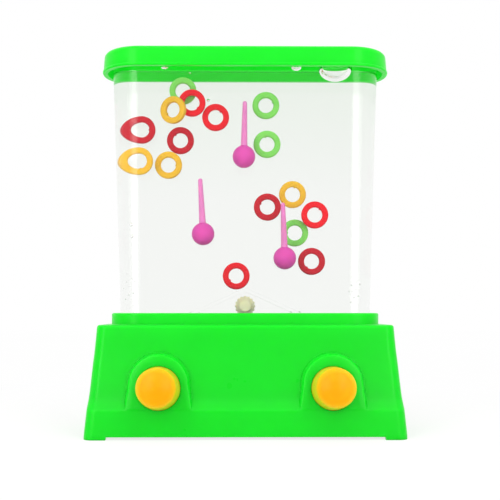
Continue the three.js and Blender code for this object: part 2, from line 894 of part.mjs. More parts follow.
function makeElbow(side) {
  const frame = buttonFrame(side);
  const nozzle_front = bellows_rear + bellows_neck_length;
  const collar_front = bellows_rear - touch_gap;
  const tube_y = jet_setback;
  const corner = -(button_front_offset + tube_y) / Math.cos(button_tilt);
  const axis_level = button_height + corner * Math.sin(button_tilt);
  const x = (side * jet_spacing) / 2;
  const tube_at = new THREE.Matrix4().setPosition(x, tube_y, 0);
  const tube_foot = axis_level - elbow_below_axis;
  const tube_top = floor_top_level - floor_thickness - touch_gap;
  const nozzle_profile = [
    [0, corner],
    [elbow_nozzle_radius, corner],
    [elbow_nozzle_radius, collar_front - elbow_collar_thickness],
    [elbow_collar_radius, collar_front - elbow_collar_thickness],
    [elbow_collar_radius, collar_front],
    [elbow_nozzle_radius, collar_front],
    [elbow_nozzle_radius, nozzle_front],
    [0, nozzle_front],
  ];
  const tube = rod(elbow_tube_radius, tube_foot, tube_top, bellows_turn_steps);
  const bore_foot = tube_foot + elbow_tube_wall;
  const bore = rod(elbow_bore_radius, bore_foot, tube_top + cut_overrun, small_turn_steps);
  const nozzle = turned(nozzle_profile, bellows_turn_steps);
  const nozzle_bore = rod(
    elbow_nozzle_bore_radius,
    corner,
    nozzle_front + cut_overrun,
    small_turn_steps,
  );
  return cut(
    join(placed(tube, tube_at), placed(nozzle, frame)),
    placed(bore, tube_at),
    placed(nozzle_bore, frame),
  );
}

for (const [hand, side] of [['left', -1], ['right', 1]]) {
  const pump = new THREE.Group();
  buttonFrame(side).decompose(pump.position, pump.quaternion, pump.scale);
  part.add(pump);
  addPiece(`button_${hand}`, makeButton(), 'orange', pump);
  addPiece(`bellows_${hand}`, makeBellows(), 'rubber', pump);
  addPiece(`pump_elbow_${hand}`, makeElbow(side), 'white');
}

// The origin is on the surface that the game stands on, under the middle of the whole game.
const reach = new THREE.Box3().setFromObject(part);
part.position.y = -(reach.min.y + reach.max.y) / 2;

export default part;
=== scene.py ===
import math

import bmesh
import bpy
from mathutils import Matrix, Vector


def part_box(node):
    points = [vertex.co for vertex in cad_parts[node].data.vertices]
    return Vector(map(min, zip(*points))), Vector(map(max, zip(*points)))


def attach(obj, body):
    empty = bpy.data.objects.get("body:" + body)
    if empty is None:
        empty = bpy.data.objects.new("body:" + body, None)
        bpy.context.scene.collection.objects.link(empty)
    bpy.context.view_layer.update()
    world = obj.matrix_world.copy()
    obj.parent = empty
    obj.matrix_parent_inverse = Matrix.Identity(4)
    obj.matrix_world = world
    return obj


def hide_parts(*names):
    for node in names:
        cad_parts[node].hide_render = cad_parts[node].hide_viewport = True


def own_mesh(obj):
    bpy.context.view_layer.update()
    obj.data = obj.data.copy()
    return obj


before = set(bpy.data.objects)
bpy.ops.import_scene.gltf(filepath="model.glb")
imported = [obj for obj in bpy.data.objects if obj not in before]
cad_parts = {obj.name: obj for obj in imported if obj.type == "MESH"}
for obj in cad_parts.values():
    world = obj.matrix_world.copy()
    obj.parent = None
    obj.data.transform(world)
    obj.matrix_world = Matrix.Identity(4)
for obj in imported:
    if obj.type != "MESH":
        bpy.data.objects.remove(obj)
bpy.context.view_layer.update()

bl_info = {
    "name": "Water Ring Toss Game",
    "version": (1, 0, 0),
    "blender": (4, 5, 0),
    "location": "3D Viewport > Sidebar > Ring Toss",
    "description": "Builds the finished surfaces of a hand-held water ring toss game around its packed model",
    "category": "Object",
}

MM = 0.001

# The body that everything fixed rides on, the side on which each button lies, and the rings' and pegs' names
GAME_BODY = "game_body"
HANDS = {"left": -1, "right": 1}
RINGS = sorted(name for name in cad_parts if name.startswith("ring_"))
PEGS = sorted(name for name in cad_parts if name.startswith("peg_"))

# Facets
CORNER_STEPS = 20
FILLET_STEPS = 6
TURN_STEPS = 96
SMOOTH_ANGLE = math.radians(32)

# Vertices that lie this close are one, and faces that are this thin are dropped
WELD_DISTANCE = MM / 500
SLIVER_WIDTH = MM / 1000

# Light goes straight through a clear body after its first mirroring there, and after its eighth surface
MOST_MIRRORINGS = 0.5
MOST_SURFACES = 8.5

# Nearly all values of a noise lie between these
NOISE_LOW, NOISE_HIGH = 0.3, 0.7

# The sockets of a Mix node whose data_type is RGBA
MIX_SHARE, MIX_FIRST, MIX_SECOND, MIX_RESULT = 0, 6, 7, 2


def corners(box):
    """The low and the high corner of a box, as vectors."""
    return [Vector(corner) for corner in box]


# Levels that the pieces share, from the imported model
TANK_LOW, TANK_HIGH = corners(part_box("tank"))
MID_Y = (TANK_LOW.y + TANK_HIGH.y) / 2
FOOT_LEVEL = TANK_LOW.z
RIM_LEVEL = TANK_HIGH.z
FLOOR_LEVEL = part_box("tank_floor")[1][2]
LID_LOW, LID_HIGH = corners(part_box("lid"))
COLLAR_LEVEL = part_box("base_housing")[1][2]


# Properties that a user would change

def length(name, description, millimetres):
    return bpy.props.FloatProperty(
        name=name, description=description, default=millimetres * MM, min=0, precision=5,
        unit="LENGTH", subtype="DISTANCE",
    )


def lean(name, description, degrees):
    return bpy.props.FloatProperty(
        name=name, description=description, default=math.radians(degrees), subtype="ANGLE", unit="ROTATION",
    )


def power(name, description, watts):
    return bpy.props.FloatProperty(
        name=name, description=description, default=watts, min=0, subtype="POWER", unit="POWER",
    )


def linear(code):
    """An sRGB hex colour as linear light."""
    shares = [int(code[i:i + 2], 16) / 255 for i in (1, 3, 5)]
    return tuple(s / 12.92 if s <= 0.04045 else ((s + 0.055) / 1.055) ** 2.4 for s in shares)


def colour(name, description, code):
    return bpy.props.FloatVectorProperty(
        name=name, description=description, subtype="COLOR", size=3, min=0, max=1, default=linear(code),
    )


class TankSizes(bpy.types.PropertyGroup):
    foot_width: length("Foot width", "Width of the tank at its foot", 84.4)
    foot_depth: length("Foot depth", "Depth of the tank at its foot", 20)
    foot_radius: length("Foot corner", "Radius of the tank's upright corners at its foot", 7.2)
    rim_radius: length("Rim corner", "Radius of the tank's upright corners at its rim", 10.3)
    wall: length("Wall", "Thickness of the tank's walls", 1.4)
    floor_seat: length("Floor seat", "How far the wall is cut back where the floor is cemented in", 0.5)
    flange_height: length("Flange height", "Height of the flange under the lid", 1.8)
    flange_reach: length("Flange reach", "How far the flange stands out from the wall", 1)
    deflector_rise: length("Deflector rise", "Height of the roof that rolls the rings to the jets", 8.3)
    deflector_half_span: length("Deflector half span", "Reach of that roof to either side", 18.6)
    deflector_thickness: length("Deflector thickness", "Thickness of that roof", 1.2)
    deflector_clearance: length("Deflector clearance", "Gap under the roof's feet", 0.8)
    filler_radius: length("Filler hole", "Radius of the filler hole in the back", 2.2)
    water_overlap: length("Water overlap", "How far the water's surface lies inside the clear wall", 0.04)
    film: length("Water film", "Water left between the deflector and the walls", 0.06)


class LidSizes(bpy.types.PropertyGroup):
    roof: length("Roof", "Thickness of the lid's top", 1.8)
    skirt_wall: length("Skirt wall", "Thickness of the lid's skirt", 1.5)
    draft: length("Draft", "How much wider the skirt is at its foot", 0.35)
    lip_height: length("Lip height", "Height of the lip along the skirt's foot", 0.9)
    lip_reach: length("Lip reach", "How far that lip stands out", 0.25)
    edge: length("Edge radius", "Rounding of the lid's top edge", 1.7)
    inner_rim_height: length("Inner rim height", "Height of the rim inside the tank", 2.6)
    inner_rim_wall: length("Inner rim wall", "Thickness of the rim inside the tank", 1.4)
    fit: length("Fit", "Clearance between the lid and the tank", 0.3)


class BaseSizes(bpy.types.PropertyGroup):
    top_width: length("Top width", "Width of the base at its top", 97.7)
    deck_level: length("Deck level", "Height of the base without its collar", 36.7)
    front_at_top: length("Front at top", "Reach to the front at the top", 15)
    back_at_top: length("Back at top", "Reach to the back at the top", 15)
    corner: length("Corner radius", "Radius of the upright corners", 3.4)
    edge: length("Edge radius", "Rounding of the deck's edge", 0.9)
    wall: length("Wall", "Thickness of the shell", 2)
    foot_height: length("Foot height", "Height of the four feet", 1)
    foot_length: length("Foot length", "Length of a foot along the rim", 7.4)
    collar_wall: length("Collar wall", "Thickness of the collar round the tank", 2.5)
    collar_edge: length("Collar edge", "Rounding of the collar's top edge", 0.6)
    ledge: length("Ledge", "Thickness of the ledge that carries the tank", 1.7)
    fit: length("Fit", "Clearance between the base and the tank", 0.3)
    column: length("Front spacing", "Spacing of the upright mesh lines across the front", 0.27)
    row: length("Row spacing", "Spacing of the level mesh lines", 0.27)
    boss_radius: length("Boss radius", "Radius of the arch round a button, on its face", 9.85)
    boss_rise: length("Boss rise", "How far the arch's middle lies above the button's axis", 1.25)
    boss_drop: length("Boss drop", "How far the arch's sides run down from the button's axis", 7.1)
    boss_edge: length("Boss edge", "Rounding of the boss's edge", 0.5)
    boss_fillet: length("Boss fillet", "Fillet where a boss meets the base", 0.55)
    boss_crown: length("Boss crown", "How far the boss's face falls away to its edge", 0.4)
    boss_slope: bpy.props.FloatProperty(
        name="Boss slope", description="How far the boss's sides spread for each length they run back",
        default=0.15, min=0.05,
    )
    boss_spread: bpy.props.FloatProperty(
        name="Boss spread", description="How far the arch's legs spread for each length they run down",
        default=0.15,
    )
    boss_wall: length("Boss wall", "Thickness of the boss's face", 1.8)
    hole_radius: length("Button hole", "Radius of the hole for a button", 7.1)
    hole_lip: length("Hole lip", "Rounding of that hole's edge", 0.15)
    hole_relief: length("Hole relief", "How much wider the hole is behind the boss's face", 1.17)
    hole_depth: length("Hole depth", "How far the hole runs in from the boss's face", 10)


class ButtonSizes(bpy.types.PropertyGroup):
    spacing: length("Spacing", "Distance between the two buttons' axes", 56.2)
    height: length("Height", "Height of a button's axis on the boss's face", 16.45)
    front_offset: length("Front offset", "Distance of the boss's face from the tank's middle", 20.2)
    tilt: lean("Tilt", "How far a button's axis points up", 5.5)
    reach: length("Reach", "How far a button stands out of its boss", 11.5)
    face_radius: length("Face radius", "Radius of a button's face", 6.4)
    root_radius: length("Root radius", "Radius of a button at its boss", 7)
    edge: length("Edge radius", "Rounding of a button's rim", 2.6)
    crown: length("Crown", "How far the face is domed", 0.9)
    flange_radius: length("Flange radius", "Radius of the stop flange inside the boss", 8)
    flange_thickness: length("Flange thickness", "Thickness of the stop flange", 1.4)
    flange_setback: length("Flange setback", "Distance of that flange behind the boss's face", 2.1)


class PumpSizes(bpy.types.PropertyGroup):
    length: length("Length", "Length of a bellows", 15)
    crest: length("Crest radius", "Radius of the bellows' folds", 6.55)
    root: length("Root radius", "Radius between the folds", 4.7)
    neck: length("Neck radius", "Radius of the bellows' neck", 3.7)
    neck_bore: length("Neck bore", "Radius of the neck's bore", 2.9)
    neck_length: length("Neck length", "Length of the neck", 3)
    wall: length("Wall", "Thickness of the rubber", 0.8)
    end: length("End", "Thickness of the closed end", 1)
    gap: length("Gap", "Gap between the button and the bellows", 0.3)
    travel: length("Travel", "How far a button is pressed", 6)
    folds: bpy.props.IntProperty(name="Folds", description="Folds of a bellows", default=4, min=1)


class PegSizes(bpy.types.PropertyGroup):
    ball_radius: length("Ball radius", "Radius of the ball under a spike", 3.85)
    spike_base: length("Spike base", "Radius of a spike at its ball", 1.12)
    spike_tip: length("Spike tip", "Radius of a spike's rounded tip", 0.74)
    fillet: length("Fillet", "Fillet between a spike and its ball", 0.6)
    stub_radius: length("Stub radius", "Radius of the stub to the back wall", 1.5)
    sink: length("Sink", "How deep the spike and the stub start inside the ball", 1.6)


class RingSizes(bpy.types.PropertyGroup):
    outer_radius: length("Outer radius", "Radius of a ring", 4.67)
    inner_radius: length("Inner radius", "Radius of a ring's hole", 2.6)
    thickness: length("Thickness", "Thickness of a ring", 1.9)
    edge: length("Edge radius", "Rounding of a ring's edges", 0.5)
    nub_radius: length("Nub radius", "Radius of the moulding nub", 0.42)
    turned_lean: lean("Turn", "How far the turned ring faces aside", 23)


class PlugSizes(bpy.types.PropertyGroup):
    cap_radius: length("Cap radius", "Radius of the knurled cap", 3.6)
    cap_thickness: length("Cap thickness", "Thickness of the cap", 2.8)
    knurl_depth: length("Knurl depth", "Depth of the grip grooves", 0.4)
    edge: length("Edge radius", "Rounding of the cap's edge", 0.35)
    stem_radius: length("Stem radius", "Radius of the stem", 1.9)
    knurls: bpy.props.IntProperty(name="Knurls", description="Grip ridges round the cap", default=16, min=3)


class GameColours(bpy.types.PropertyGroup):
    green: colour("Green", "Lid and base", "#0AD320")
    # Painted sheen: a paler green painted on the lid and base where they are seen at a low angle
    green_aside: colour("Green aside", "Lid and base, where they are seen at a low angle", "#20DC30")
    orange: colour("Orange", "Buttons", "#F0A502")
    # Painted sheen: a paler yellow painted on the buttons' rims and sides, where they are seen at a low angle
    orange_aside: colour("Orange aside", "Buttons, where they are seen at a low angle", "#FFD22C")
    magenta: colour("Magenta", "Pegs", "#E452B4")
    thin_magenta: colour("Thin magenta", "The pegs' spikes, which more light comes through", "#F691D4")
    plug_yellow: colour("Plug yellow", "Filler plug", "#F6F6CC")
    ring_green: colour("Ring green", "Green rings", "#8CE069")
    ring_yellow: colour("Ring yellow", "Yellow rings", "#F4C036")
    ring_red: colour("Ring red", "Red rings", "#F80A22")
    ring_dark_red: colour("Ring dark red", "Dark red rings", "#D0142A")
    clear: colour("Clear", "Tint of the clear plastic", "#FFFFFF")
    water: colour("Water", "Tint of the water", "#FFFFFF")
    # Painted reflection: the lid's green painted into the water's back near the lid
    water_near_lid: colour("Water near the lid", "Tint of the water where it mirrors the lid", "#E5F3E3")
    rubber: colour("Rubber", "Bellows", "#D9D5C8")
    white: colour("White", "Pump elbows", "#EDEDE8")
    steel: colour("Steel", "Screws", "#C4C7CA")
    floor: colour("Floor", "Studio floor", "#F2F2F0")


class StageSettings(bpy.types.PropertyGroup):
    distance: length("Camera distance", "Distance of the camera from the tank's middle", 305)
    height: length("Camera height", "Height of the camera above the floor", 41.6)
    azimuth: lean("Azimuth", "How far the camera stands to the left", 0.6)
    lens: bpy.props.FloatProperty(
        name="Lens", description="Focal length for a frame 36 mm wide, in millimetres", default=64, min=1,
    )
    middle_column: bpy.props.FloatProperty(
        name="Middle column", description="Where the object's middle lies across the 500-pixel frame",
        default=245.2,
    )
    horizon_row: bpy.props.FloatProperty(
        name="Horizon row", description="Where the camera's own level lies down the 500-pixel frame",
        default=310,
    )
    key_power: power("Key light", "Power of the tall soft lamp on the left", 1.7)
    fill_power: power("Fill light", "Power of the tall soft lamp on the right", 1.4)
    top_power: power("Top light", "Power of the soft lamp overhead", 1.1)
    room_light: bpy.props.FloatProperty(
        name="Room light", description="Level of the light from all round", default=0.75, min=0, max=1,
    )


class RingTossSettings(bpy.types.PropertyGroup):
    tank: bpy.props.PointerProperty(type=TankSizes)
    lid: bpy.props.PointerProperty(type=LidSizes)
    base: bpy.props.PointerProperty(type=BaseSizes)
    button: bpy.props.PointerProperty(type=ButtonSizes)
    pump: bpy.props.PointerProperty(type=PumpSizes)
    peg: bpy.props.PointerProperty(type=PegSizes)
    ring: bpy.props.PointerProperty(type=RingSizes)
    plug: bpy.props.PointerProperty(type=PlugSizes)
    colours: bpy.props.PointerProperty(type=GameColours)
    stage: bpy.props.PointerProperty(type=StageSettings)


def settings():
    return bpy.context.scene.ring_toss


# Shapes

class Plan:
    """A rounded rectangle seen from above: its reach to each side, to the front and to the back."""

    def __init__(self, side, front, back, radius):
        self.side, self.front, self.back, self.radius = side, front, back, radius

    def grown(self, by):
        """The plan spread evenly on all sides, or shrunk where by is negative."""
        return Plan(self.side + by, self.front + by, self.back + by, max(self.radius + by, MM / 4))

    def mixed(self, other, share):
        """A plan between this one and another."""
        own = (self.side, self.front, self.back, self.radius)
        others = (other.side, other.front, other.back, other.radius)
        return Plan(*(a + (b - a) * share for a, b in zip(own, others)))


NO_RUNS = ((), (), (), ())


def outline(plan, level, runs=NO_RUNS):
    """The plan's outline from its back right corner, through the back left one. Level is a height, or a
    function of x and y. Runs holds shares along the back, left, front and right stretches, where lines of the
    mesh come down."""
    radius = min(plan.radius, plan.side, (plan.front + plan.back) / 2)
    wide, deep_back, deep_front = plan.side - radius, plan.back - radius, radius - plan.front
    centres = [(wide, deep_back), (-wide, deep_back), (-wide, deep_front), (wide, deep_front)]

    def on_corner(quarter, angle):
        x, y = centres[quarter % 4]
        return x + radius * math.cos(angle), y + radius * math.sin(angle)

    flat = []
    for quarter in range(4):
        for step in range(CORNER_STEPS + 1):
            flat.append(on_corner(quarter, (quarter + step / CORNER_STEPS) * math.pi / 2))
        (x, y), (to_x, to_y) = flat[-1], on_corner(quarter + 1, (quarter + 1) * math.pi / 2)
        flat += [(x + (to_x - x) * share, y + (to_y - y) * share) for share in runs[quarter]]
    height = level if callable(level) else lambda x, y: level
    return [Vector((x, MID_Y + y, height(x, y))) for x, y in flat]


def rounded_edge(plan, low, radius, steps=FILLET_STEPS, runs=NO_RUNS):
    """Outlines over a rounded edge, from its low end on the plan to the flat top."""
    angles = (math.pi / 2 * step / steps for step in range(steps + 1))
    return [
        outline(plan.grown(-radius * (1 - math.cos(angle))), low + radius * math.sin(angle), runs)
        for angle in angles
    ]


def loft(outlines, looped=False):
    """Vertices and faces of a skin over outlines of equal count, looped or closed flat at both ends."""
    count = len(outlines[0])
    vertices = [point for ring in outlines for point in ring]
    faces = []
    spans = len(outlines) if looped else len(outlines) - 1
    for level in range(spans):
        low, high = level * count, (level + 1) % len(outlines) * count
        for i in range(count):
            after = (i + 1) % count
            faces.append((low + i, low + after, high + after, high + i))
    if not looped:
        faces.append(tuple(reversed(range(count))))
        faces.append(tuple(range(len(vertices) - count, len(vertices))))
    return vertices, faces


def turned(profile, matrix=Matrix(), steps=TURN_STEPS, looped=False, radius_at=lambda radius, angle: radius):
    """A body of revolution about the matrix's Z. Its profile lists (radius, height) from axis to axis, or all
    round where it is looped. Radius_at changes the radius by the angle."""
    rings = []
    for radius, height in profile:
        angles = (2 * math.pi * i / steps for i in range(steps))
        ring = [(radius_at(radius, angle), angle) for angle in angles]
        rings.append([matrix @ Vector((r * math.cos(a), r * math.sin(a), height)) for r, a in ring])
    return loft(rings, looped)


def rod(radius, low, high):
    """Profile of a plain round rod."""
    return [(0, low), (radius, low), (radius, high), (0, high)]


def arc(centre, radius, start, end, steps=FILLET_STEPS):
    """Points (radius, height) on an arc, from one angle in degrees to another."""
    angles = (math.radians(start + (end - start) * step / steps) for step in range(steps + 1))
    return [(centre[0] + radius * math.cos(a), centre[1] + radius * math.sin(a)) for a in angles]


def smooth_max(a, b, width):
    """The larger of two values, with a fillet where they meet."""
    near = max(width - abs(a - b), 0) / width
    return max(a, b) + near * near * width / 4


def shape_object(name, *skins):
    """One object from several closed skins, each a list of vertices and faces."""
    mesh = bpy.data.meshes.new(name)
    vertices, faces = [], []
    for skin_vertices, skin_faces in skins:
        start = len(vertices)
        vertices += skin_vertices
        faces += [tuple(start + i for i in face) for face in skin_faces]
    mesh.from_pydata(vertices, [], faces)
    made = bmesh.new()
    made.from_mesh(mesh)
    bmesh.ops.remove_doubles(made, verts=made.verts, dist=WELD_DISTANCE)
    bmesh.ops.dissolve_degenerate(made, edges=made.edges, dist=SLIVER_WIDTH)
    bmesh.ops.recalc_face_normals(made, faces=made.faces)
    made.to_mesh(mesh)
    made.free()
    piece = bpy.data.objects.new(name, mesh)
    bpy.context.scene.collection.objects.link(piece)
    return piece


def apply_modifiers(piece):
    """Leaves the evaluated mesh on the piece, with no modifier."""
    graph = bpy.context.evaluated_depsgraph_get()
    finished = bpy.data.meshes.new_from_object(piece.evaluated_get(graph))
    piece.modifiers.clear()
    piece.data = finished


def combine(piece, operation, *skins):
    """Cuts closed skins out of a piece, as DIFFERENCE, or welds them to it, as UNION."""
    other = shape_object(piece.name + "_other", *skins)
    boolean = piece.modifiers.new("combine", "BOOLEAN")
    boolean.operation = operation
    boolean.solver = "EXACT"
    boolean.object = other
    apply_modifiers(piece)
    bpy.data.objects.remove(other)


def finish_piece(piece, body, slot, materials, *nodes):
    """Shades a piece, gives it its materials, and sets it on its body in place of its CAD nodes."""
    for material in materials:
        piece.data.materials.append(material)
    piece.data.shade_smooth()
    piece.data.set_sharp_from_angle(angle=SMOOTH_ANGLE)
    weighted = piece.modifiers.new("weighted normals", "WEIGHTED_NORMAL")
    weighted.keep_sharp = True
    apply_modifiers(piece)
    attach(piece, body)
    if nodes:
        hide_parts(*nodes)
    return piece


def finish_node(node, material):
    """Gives a carried-over CAD node its material."""
    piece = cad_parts[node]
    if not piece.data.materials:
        piece.data.materials.append(material)
    for slot in piece.material_slots:
        slot.material = material


# Materials

def new_material(name):
    """The material of this name, with an empty node tree."""
    material = bpy.data.materials.get(name) or bpy.data.materials.new(name)
    material.use_nodes = True
    material.node_tree.nodes.clear()
    return material


def add_node(material, kind, inputs=None, **values):
    """Adds a node with its settings. An input is a value, or an output socket that it is linked to."""
    node = material.node_tree.nodes.new(kind)
    for name, value in values.items():
        setattr(node, name, value)
    for name, value in (inputs or {}).items():
        if isinstance(value, bpy.types.NodeSocket):
            material.node_tree.links.new(value, node.inputs[name])
        else:
            node.inputs[name].default_value = value
    return node


def per_millimetre(spacing):
    """Scale of a noise whose features lie this many millimetres apart."""
    return 1 / (spacing * MM)


def moulded_surface(material, tint, spread, cloud, grain, grain_depth, rough, rough_spread):
    """Colour, roughness and normal of a moulded skin: slow clouds of shade where the melt cooled unevenly,
    and the fine orange peel of the mould's steel. Cloud and grain are their sizes in millimetres. Spread is
    how much the clouds darken the tint, and they add up to rough_spread to rough."""
    place = add_node(material, "ShaderNodeNewGeometry").outputs["Position"]
    clouds = add_node(
        material, "ShaderNodeTexNoise", {"Vector": place, "Scale": per_millimetre(cloud), "Detail": 3})
    cloudiness = {"Value": clouds.outputs["Fac"], "From Min": NOISE_LOW, "From Max": NOISE_HIGH}
    shade = add_node(material, "ShaderNodeMapRange", {**cloudiness, "To Min": 1 - spread, "To Max": 1})
    shaded = add_node(
        material, "ShaderNodeMix",
        {MIX_SHARE: 1, MIX_FIRST: (*tint, 1), MIX_SECOND: shade.outputs["Result"]},
        data_type="RGBA", blend_type="MULTIPLY")
    peel = add_node(
        material, "ShaderNodeTexNoise", {"Vector": place, "Scale": per_millimetre(grain), "Detail": 2})
    bump = add_node(
        material, "ShaderNodeBump",
        {"Height": peel.outputs["Fac"], "Strength": 0.6, "Distance": grain_depth * MM})
    roughness = add_node(
        material, "ShaderNodeMapRange", {**cloudiness, "To Min": rough, "To Max": rough + rough_spread})
    return shaded.outputs[MIX_RESULT], roughness.outputs["Result"], bump.outputs["Normal"]


def close_material(material, shader, volume=None):
    """Links a shader, and a volume if there is one, to the material's output."""
    inputs = {"Surface": shader}
    if volume:
        inputs["Volume"] = volume
    add_node(material, "ShaderNodeOutputMaterial", inputs)
    return material


def injection_moulded_abs(name, tint, painted_sheen_tint, gloss, bleed, through, painted_sheen_start=0.35, thin=False):
    """Injection-moulded ABS: an even, saturated colour under a satin gloss, which softens the studio's
    reflections a little, with a faint orange peel. A painted sheen pales its colour where it is seen at a
    low angle, and the argument after through sets how early that starts. Bleed is how far each colour of
    light spreads inside it, in millimetres, and through is the share of the lamps' light that each of its
    surfaces lets in, and where it is thin, of all light."""
    material = new_material(name)
    base, roughness, normal = moulded_surface(
        material, tint, spread=0.05, cloud=14, grain=0.8, grain_depth=0.012, rough=0.27, rough_spread=0.07)
    # Painted sheen: the colour is mixed towards a paler tint where the surface is seen at a low angle
    painted_sheen_weight = add_node(material, "ShaderNodeLayerWeight", {"Blend": painted_sheen_start})
    painted_sheen_mix = add_node(
        material, "ShaderNodeMix",
        {MIX_SHARE: painted_sheen_weight.outputs["Facing"], MIX_FIRST: base, MIX_SECOND: (*painted_sheen_tint, 1)},
        data_type="RGBA")
    shader = add_node(material, "ShaderNodeBsdfPrincipled", {
        "Base Color": painted_sheen_mix.outputs[MIX_RESULT], "Roughness": roughness, "Normal": normal, "IOR": 1.53,
        "Specular IOR Level": gloss,
        "Subsurface Weight": 0.8, "Subsurface Radius": bleed, "Subsurface Scale": MM,
    })
    open_way = add_node(material, "ShaderNodeBsdfTransparent", {"Color": (0.95, 1, 0.95, 1)})
    path = add_node(material, "ShaderNodeLightPath")
    lit = add_node(
        material, "ShaderNodeMath",
        {0: path.outputs["Is Shadow Ray"], 1: path.outputs["Is Diffuse Ray"] if thin else 0},
        operation="MAXIMUM")
    by_light = add_node(
        material, "ShaderNodeMath", {0: lit.outputs["Value"], 1: through}, operation="MULTIPLY")
    mixed = add_node(
        material, "ShaderNodeMixShader",
        {"Fac": by_light.outputs["Value"], 1: shader.outputs["BSDF"], 2: open_way.outputs["BSDF"]})
    return close_material(material, mixed.outputs["Shader"])


def green_abs(colours):
    """The base's plastic, through which a little of the lamps' light glows."""
    return injection_moulded_abs(
        "injection_moulded_abs_green", colours.green, colours.green_aside, gloss=0.16, bleed=(0.3, 5, 0.5),
        through=0.4)


def thin_green_abs(colours):
    """The lid's plastic, so thin that the water under it is hardly shaded."""
    return injection_moulded_abs(
        "thin_injection_moulded_abs_green", colours.green, colours.green_aside, gloss=0.16,
        bleed=(0.3, 5, 0.5), through=0.9, thin=True)


def orange_abs(colours):
    """The buttons' plastic, with a painted sheen that pales it early on their rounded rims."""
    return injection_moulded_abs(
        "injection_moulded_abs_orange", colours.orange, colours.orange_aside, gloss=0.1,
        bleed=(1.8, 1.3, 0.2), through=0.4, painted_sheen_start=0.62)


def soft_moulded_polyethylene(name, tint):
    """Moulded low-density polyethylene: waxy, with a broad dull sheen. Light spreads a little inside it."""
    material = new_material(name)
    base, roughness, normal = moulded_surface(
        material, tint, spread=0.06, cloud=9, grain=0.6, grain_depth=0.015, rough=0.36, rough_spread=0.08)
    shader = add_node(material, "ShaderNodeBsdfPrincipled", {
        "Base Color": base, "Roughness": roughness, "Normal": normal, "IOR": 1.51,
        "Subsurface Weight": 0.25, "Subsurface Radius": (1.5, 1.1, 0.5), "Subsurface Scale": MM,
    })
    return close_material(material, shader.outputs["BSDF"])


def translucent_polystyrene_in_water(name, tint, through):
    """Tinted translucent polystyrene, moulded and wet. Under water its gloss is weak, because water's own
    index is close: 1.59 over 1.33 leaves 1.2. The colour glows where light comes through from behind, and
    through is the share of the light that does."""
    material = new_material(name)
    base, roughness, normal = moulded_surface(
        material, tint, spread=0.08, cloud=4, grain=0.5, grain_depth=0.01, rough=0.3, rough_spread=0.08)
    shader = add_node(material, "ShaderNodeBsdfPrincipled", {
        "Base Color": base, "Roughness": roughness, "Normal": normal, "IOR": 1.2,
        "Specular IOR Level": 0.3,
        "Subsurface Weight": 0.4, "Subsurface Radius": (1.0, 0.8, 0.6), "Subsurface Scale": MM,
        "Transmission Weight": through,
    })
    return close_material(material, shader.outputs["BSDF"])


def clear_body(name, tint, index, gloss, cloud=None):
    """A clear body that bends what is seen through it and lets the lamps' light reach what is inside. Tint is
    a colour, or a function that makes one from nodes of the material. Gloss is the share of the white room
    that its surfaces mirror, and cloud the colour and density of what it swallows. Light that it has
    mirrored, or bent many times, goes straight on, so that it leaves the body again."""
    material = new_material(name)
    shader = add_node(material, "ShaderNodeBsdfPrincipled", {
        "Base Color": tint(material) if callable(tint) else (*tint, 1),
        "Roughness": 0, "IOR": index, "Transmission Weight": 1, "Specular Tint": (gloss, gloss, gloss, 1),
    })
    open_way = add_node(material, "ShaderNodeBsdfTransparent", {"Color": (1, 1, 1, 1)})
    path = add_node(material, "ShaderNodeLightPath")
    straight = add_node(
        material, "ShaderNodeMath",
        {0: path.outputs["Is Shadow Ray"], 1: path.outputs["Is Diffuse Ray"]}, operation="MAXIMUM")
    for depth, most in (("Glossy Depth", MOST_MIRRORINGS), ("Ray Depth", MOST_SURFACES)):
        past = add_node(
            material, "ShaderNodeMath", {0: path.outputs[depth], 1: most}, operation="GREATER_THAN")
        straight = add_node(
            material, "ShaderNodeMath",
            {0: straight.outputs["Value"], 1: past.outputs["Value"]}, operation="MAXIMUM")
    mixed = add_node(
        material, "ShaderNodeMixShader",
        {"Fac": straight.outputs["Value"], 1: shader.outputs["BSDF"], 2: open_way.outputs["BSDF"]})
    volume = None
    if cloud:
        volume = add_node(material, "ShaderNodeVolumeAbsorption", cloud).outputs["Volume"]
    return close_material(material, mixed.outputs["Shader"], volume)


def clear_polystyrene(colours):
    """Polished clear polystyrene, index 1.59: bright hard gloss and strongly bent edges."""
    return clear_body("clear_polystyrene", colours.clear, index=1.59, gloss=0.3)


def clear_polystyrene_in_water(colours):
    """The same plastic under water, where only 1.59 over 1.33 is left, so that its edges are faint."""
    return clear_body("clear_polystyrene_in_water", colours.clear, index=1.195, gloss=0.6)


def still_water(colours):
    """Still water, index 1.33, a little cloudy, so that it greys what lies behind its full depth but not what
    is seen through a corner. Towards the lid its back has the lid's green painted in, a painted reflection."""
    reflection_low, reflection_high = 80 * MM, 124 * MM

    # Painted reflection: the water's back is painted greener towards the lid, as if it mirrored the lid
    def painted_lid_reflection(material):
        place = add_node(material, "ShaderNodeNewGeometry").outputs["Position"]
        parts = add_node(material, "ShaderNodeSeparateXYZ", {0: place})
        at_back = add_node(
            material, "ShaderNodeMapRange",
            {"Value": parts.outputs["Y"], "From Min": MID_Y, "From Max": TANK_HIGH.y})
        lid_reflection_share = add_node(
            material, "ShaderNodeMapRange",
            {"Value": parts.outputs["Z"], "From Min": reflection_low, "From Max": reflection_high,
             "To Max": at_back.outputs["Result"]})
        shade = add_node(
            material, "ShaderNodeMix",
            {MIX_SHARE: lid_reflection_share.outputs["Result"], MIX_FIRST: (*colours.water, 1),
             MIX_SECOND: (*colours.water_near_lid, 1)},
            data_type="RGBA")
        return shade.outputs[MIX_RESULT]

    cloud = {"Color": (0.08, 0.24, 0, 1), "Density": 6}
    return clear_body("still_water", painted_lid_reflection, index=1.33, gloss=0.15, cloud=cloud)


